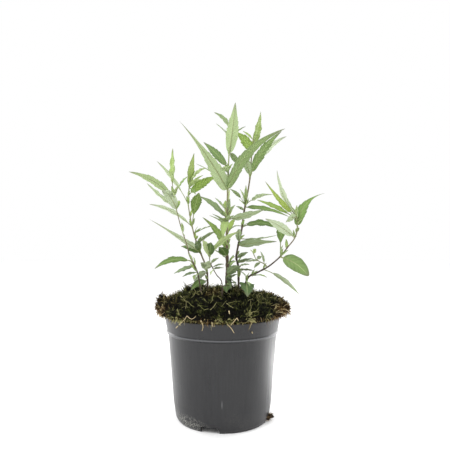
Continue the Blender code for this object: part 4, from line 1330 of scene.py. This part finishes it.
# Ridges of the bark: 0.6 mm wide, drawn out along the stem
drawn_out = node("Mapping", place, Scale=(1.0, 1.0, 0.12))
ridges = node("TexNoise", drawn_out, Scale=1600.0, Detail=3.0)
blotches = node("TexNoise", place, Scale=220.0, Detail=3.0)
blotch_shift = node("MapRange", blotches, 0.3, 0.7, -0.12, 0.12)
ripe = node("Math", ripeness, blotch_shift, operation="ADD", use_clamp=True)
bark_colour = node(
    "ValToRGB", ripe,
    stops=[(0.0, "#98A868"), (0.3, "#81875A"), (0.55, "#716847"), (0.8, "#554432"), (1.0, "#3A2B21")],
)
ridge_value = node("MapRange", ridges, 0.3, 0.7, 0.8, 1.15)
streaked = node("HueSaturation", Color=bark_colour, Value=ridge_value)
ridge_relief = node("Bump", Height=ridges, Distance=0.0003, Strength=0.6)
feed(skin_shader, Base_Color=streaked, Normal=ridge_relief)
print("stem finish ready")

# %% Grow the stems with their leaves
def sprout_axil(root, leaf, chance, blades, wood):
    """A tuft of two or three small young leaves in the corner between a leaf and its stem."""
    outward = (seen_from_front(*leaf.tip) - root).normalized()
    for _ in range(chance.choice((2, 2, 3))):
        aim = outward * chance.uniform(0.35, 0.9) + Vector((0.0, 0.0, chance.uniform(0.5, 1.0)))
        aim += waver(chance, 0.35)
        length = chance.uniform(5.5, 12.0)
        tip = root + aim.normalized() * (length * MM)
        width = length * chance.uniform(0.28, 0.36)
        sprout = Leaf(0.0, None, width, chance.uniform(0.2, 1.0), chance.uniform(-60.0, 60.0), blunt=0.1)
        blade, ribs, radii = leaf_blade(root, tip, sprout, chance.random(), 0.0)
        age = chance.uniform(0.15, 0.55)
        pour(blades, blade, age=age, downy=chance.uniform(0.0, 0.3), tone=chance.random())
        pour(wood, tube(ribs, radii, 5), ripeness=0.15)


def grow(stem, seed, blades, wood):
    """Pour a stem and its leaves: blades in one piece, stem and ribs in another."""
    chance = random.Random(seed)
    points = stem_points(stem)
    leaves = [Leaf(*row) for row in stem.leaves]
    axils = [place_at_height(points, leaf.height) for leaf in leaves]
    centres = smooth_line(points, 1.6 * MM)
    low_radius, high_radius = stem.radius
    radii = []
    for index, centre in enumerate(centres):
        share = index / (len(centres) - 1)
        swell = sum(math.exp(-(((centre - axil).length / (1.3 * MM)) ** 2)) for axil in axils)
        slender = low_radius + (high_radius * 0.75 - low_radius) * share**0.7
        radii.append(slender * (1.0 + 0.25 * min(1.0, swell)) * MM)
    stem_bm = tube(centres, radii, 12)
    ripeness = stem_bm.verts.layers.float.new("ripeness")
    woodiness, greening = stem.bark
    for vertex in stem_bm.verts:
        vertex[ripeness] = clamp(woodiness - (vertex.co.z / MM - 140.0) / greening)
    pour(wood, stem_bm)
    top = max(point.z for point in points)
    for index, (leaf, root) in enumerate(zip(leaves, axils)):
        tip = seen_from_front(*leaf.tip)
        length = (tip - root).length / MM
        # Leaves grow older down the stem, and the longer ones are older
        usual_age = (top - root.z) / MM / 110.0 + (length - 30.0) / 120.0 + chance.uniform(-0.1, 0.1)
        usual_down = chance.uniform(0.0, 0.4)
        age = clamp(usual_age) if leaf.age is None else leaf.age
        down = usual_down if leaf.down is None else leaf.down
        tone = chance.random()
        depth_of_teeth = (0.2 - 0.08 * age) * (1.0 - 0.9 * min(1.0, leaf.blunt)) * min(1.0, length / 25.0)
        blade, ribs, rib_radii = leaf_blade(root, tip, leaf, seed * 100 + index, depth_of_teeth)
        pour(blades, blade, age=age, downy=down, tone=tone)
        pour(wood, tube(ribs, rib_radii, 6), ripeness=0.12 + 0.2 * age)
        if length > 22.0:
            sprout_axil(root, leaf, chance, blades, wood)


for number, (name, stem) in enumerate(STEMS.items()):
    blades_bm = bmesh.new()
    wood_bm = bmesh.new()
    grow(stem, number + 1, blades_bm, wood_bm)
    for shoot_number, shoot in enumerate(stem.shoots):
        grow(shoot, 50 + shoot_number, blades_bm, wood_bm)
    finish_piece(name + "_blades", blades_bm, [leaf_upper, leaf_under], [name], sharp=70.0)
    finish_piece(name + "_wood", wood_bm, [stem_skin], [name], sharp=60.0)

# %% [markdown]
# ## Sizes
# The box of the finished pieces is set against the solids' box, and how far it differs on each axis
# is printed.

# %% Print how far the sizes differ
scene_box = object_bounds()
for axis, name in enumerate("xyz"):
    low = (scene_box[0][axis] - solid_box[0][axis]) / MM
    high = (scene_box[1][axis] - solid_box[1][axis]) / MM
    print(name, "differs from the solids by", round(low, 1), "and", round(high, 1), "mm")
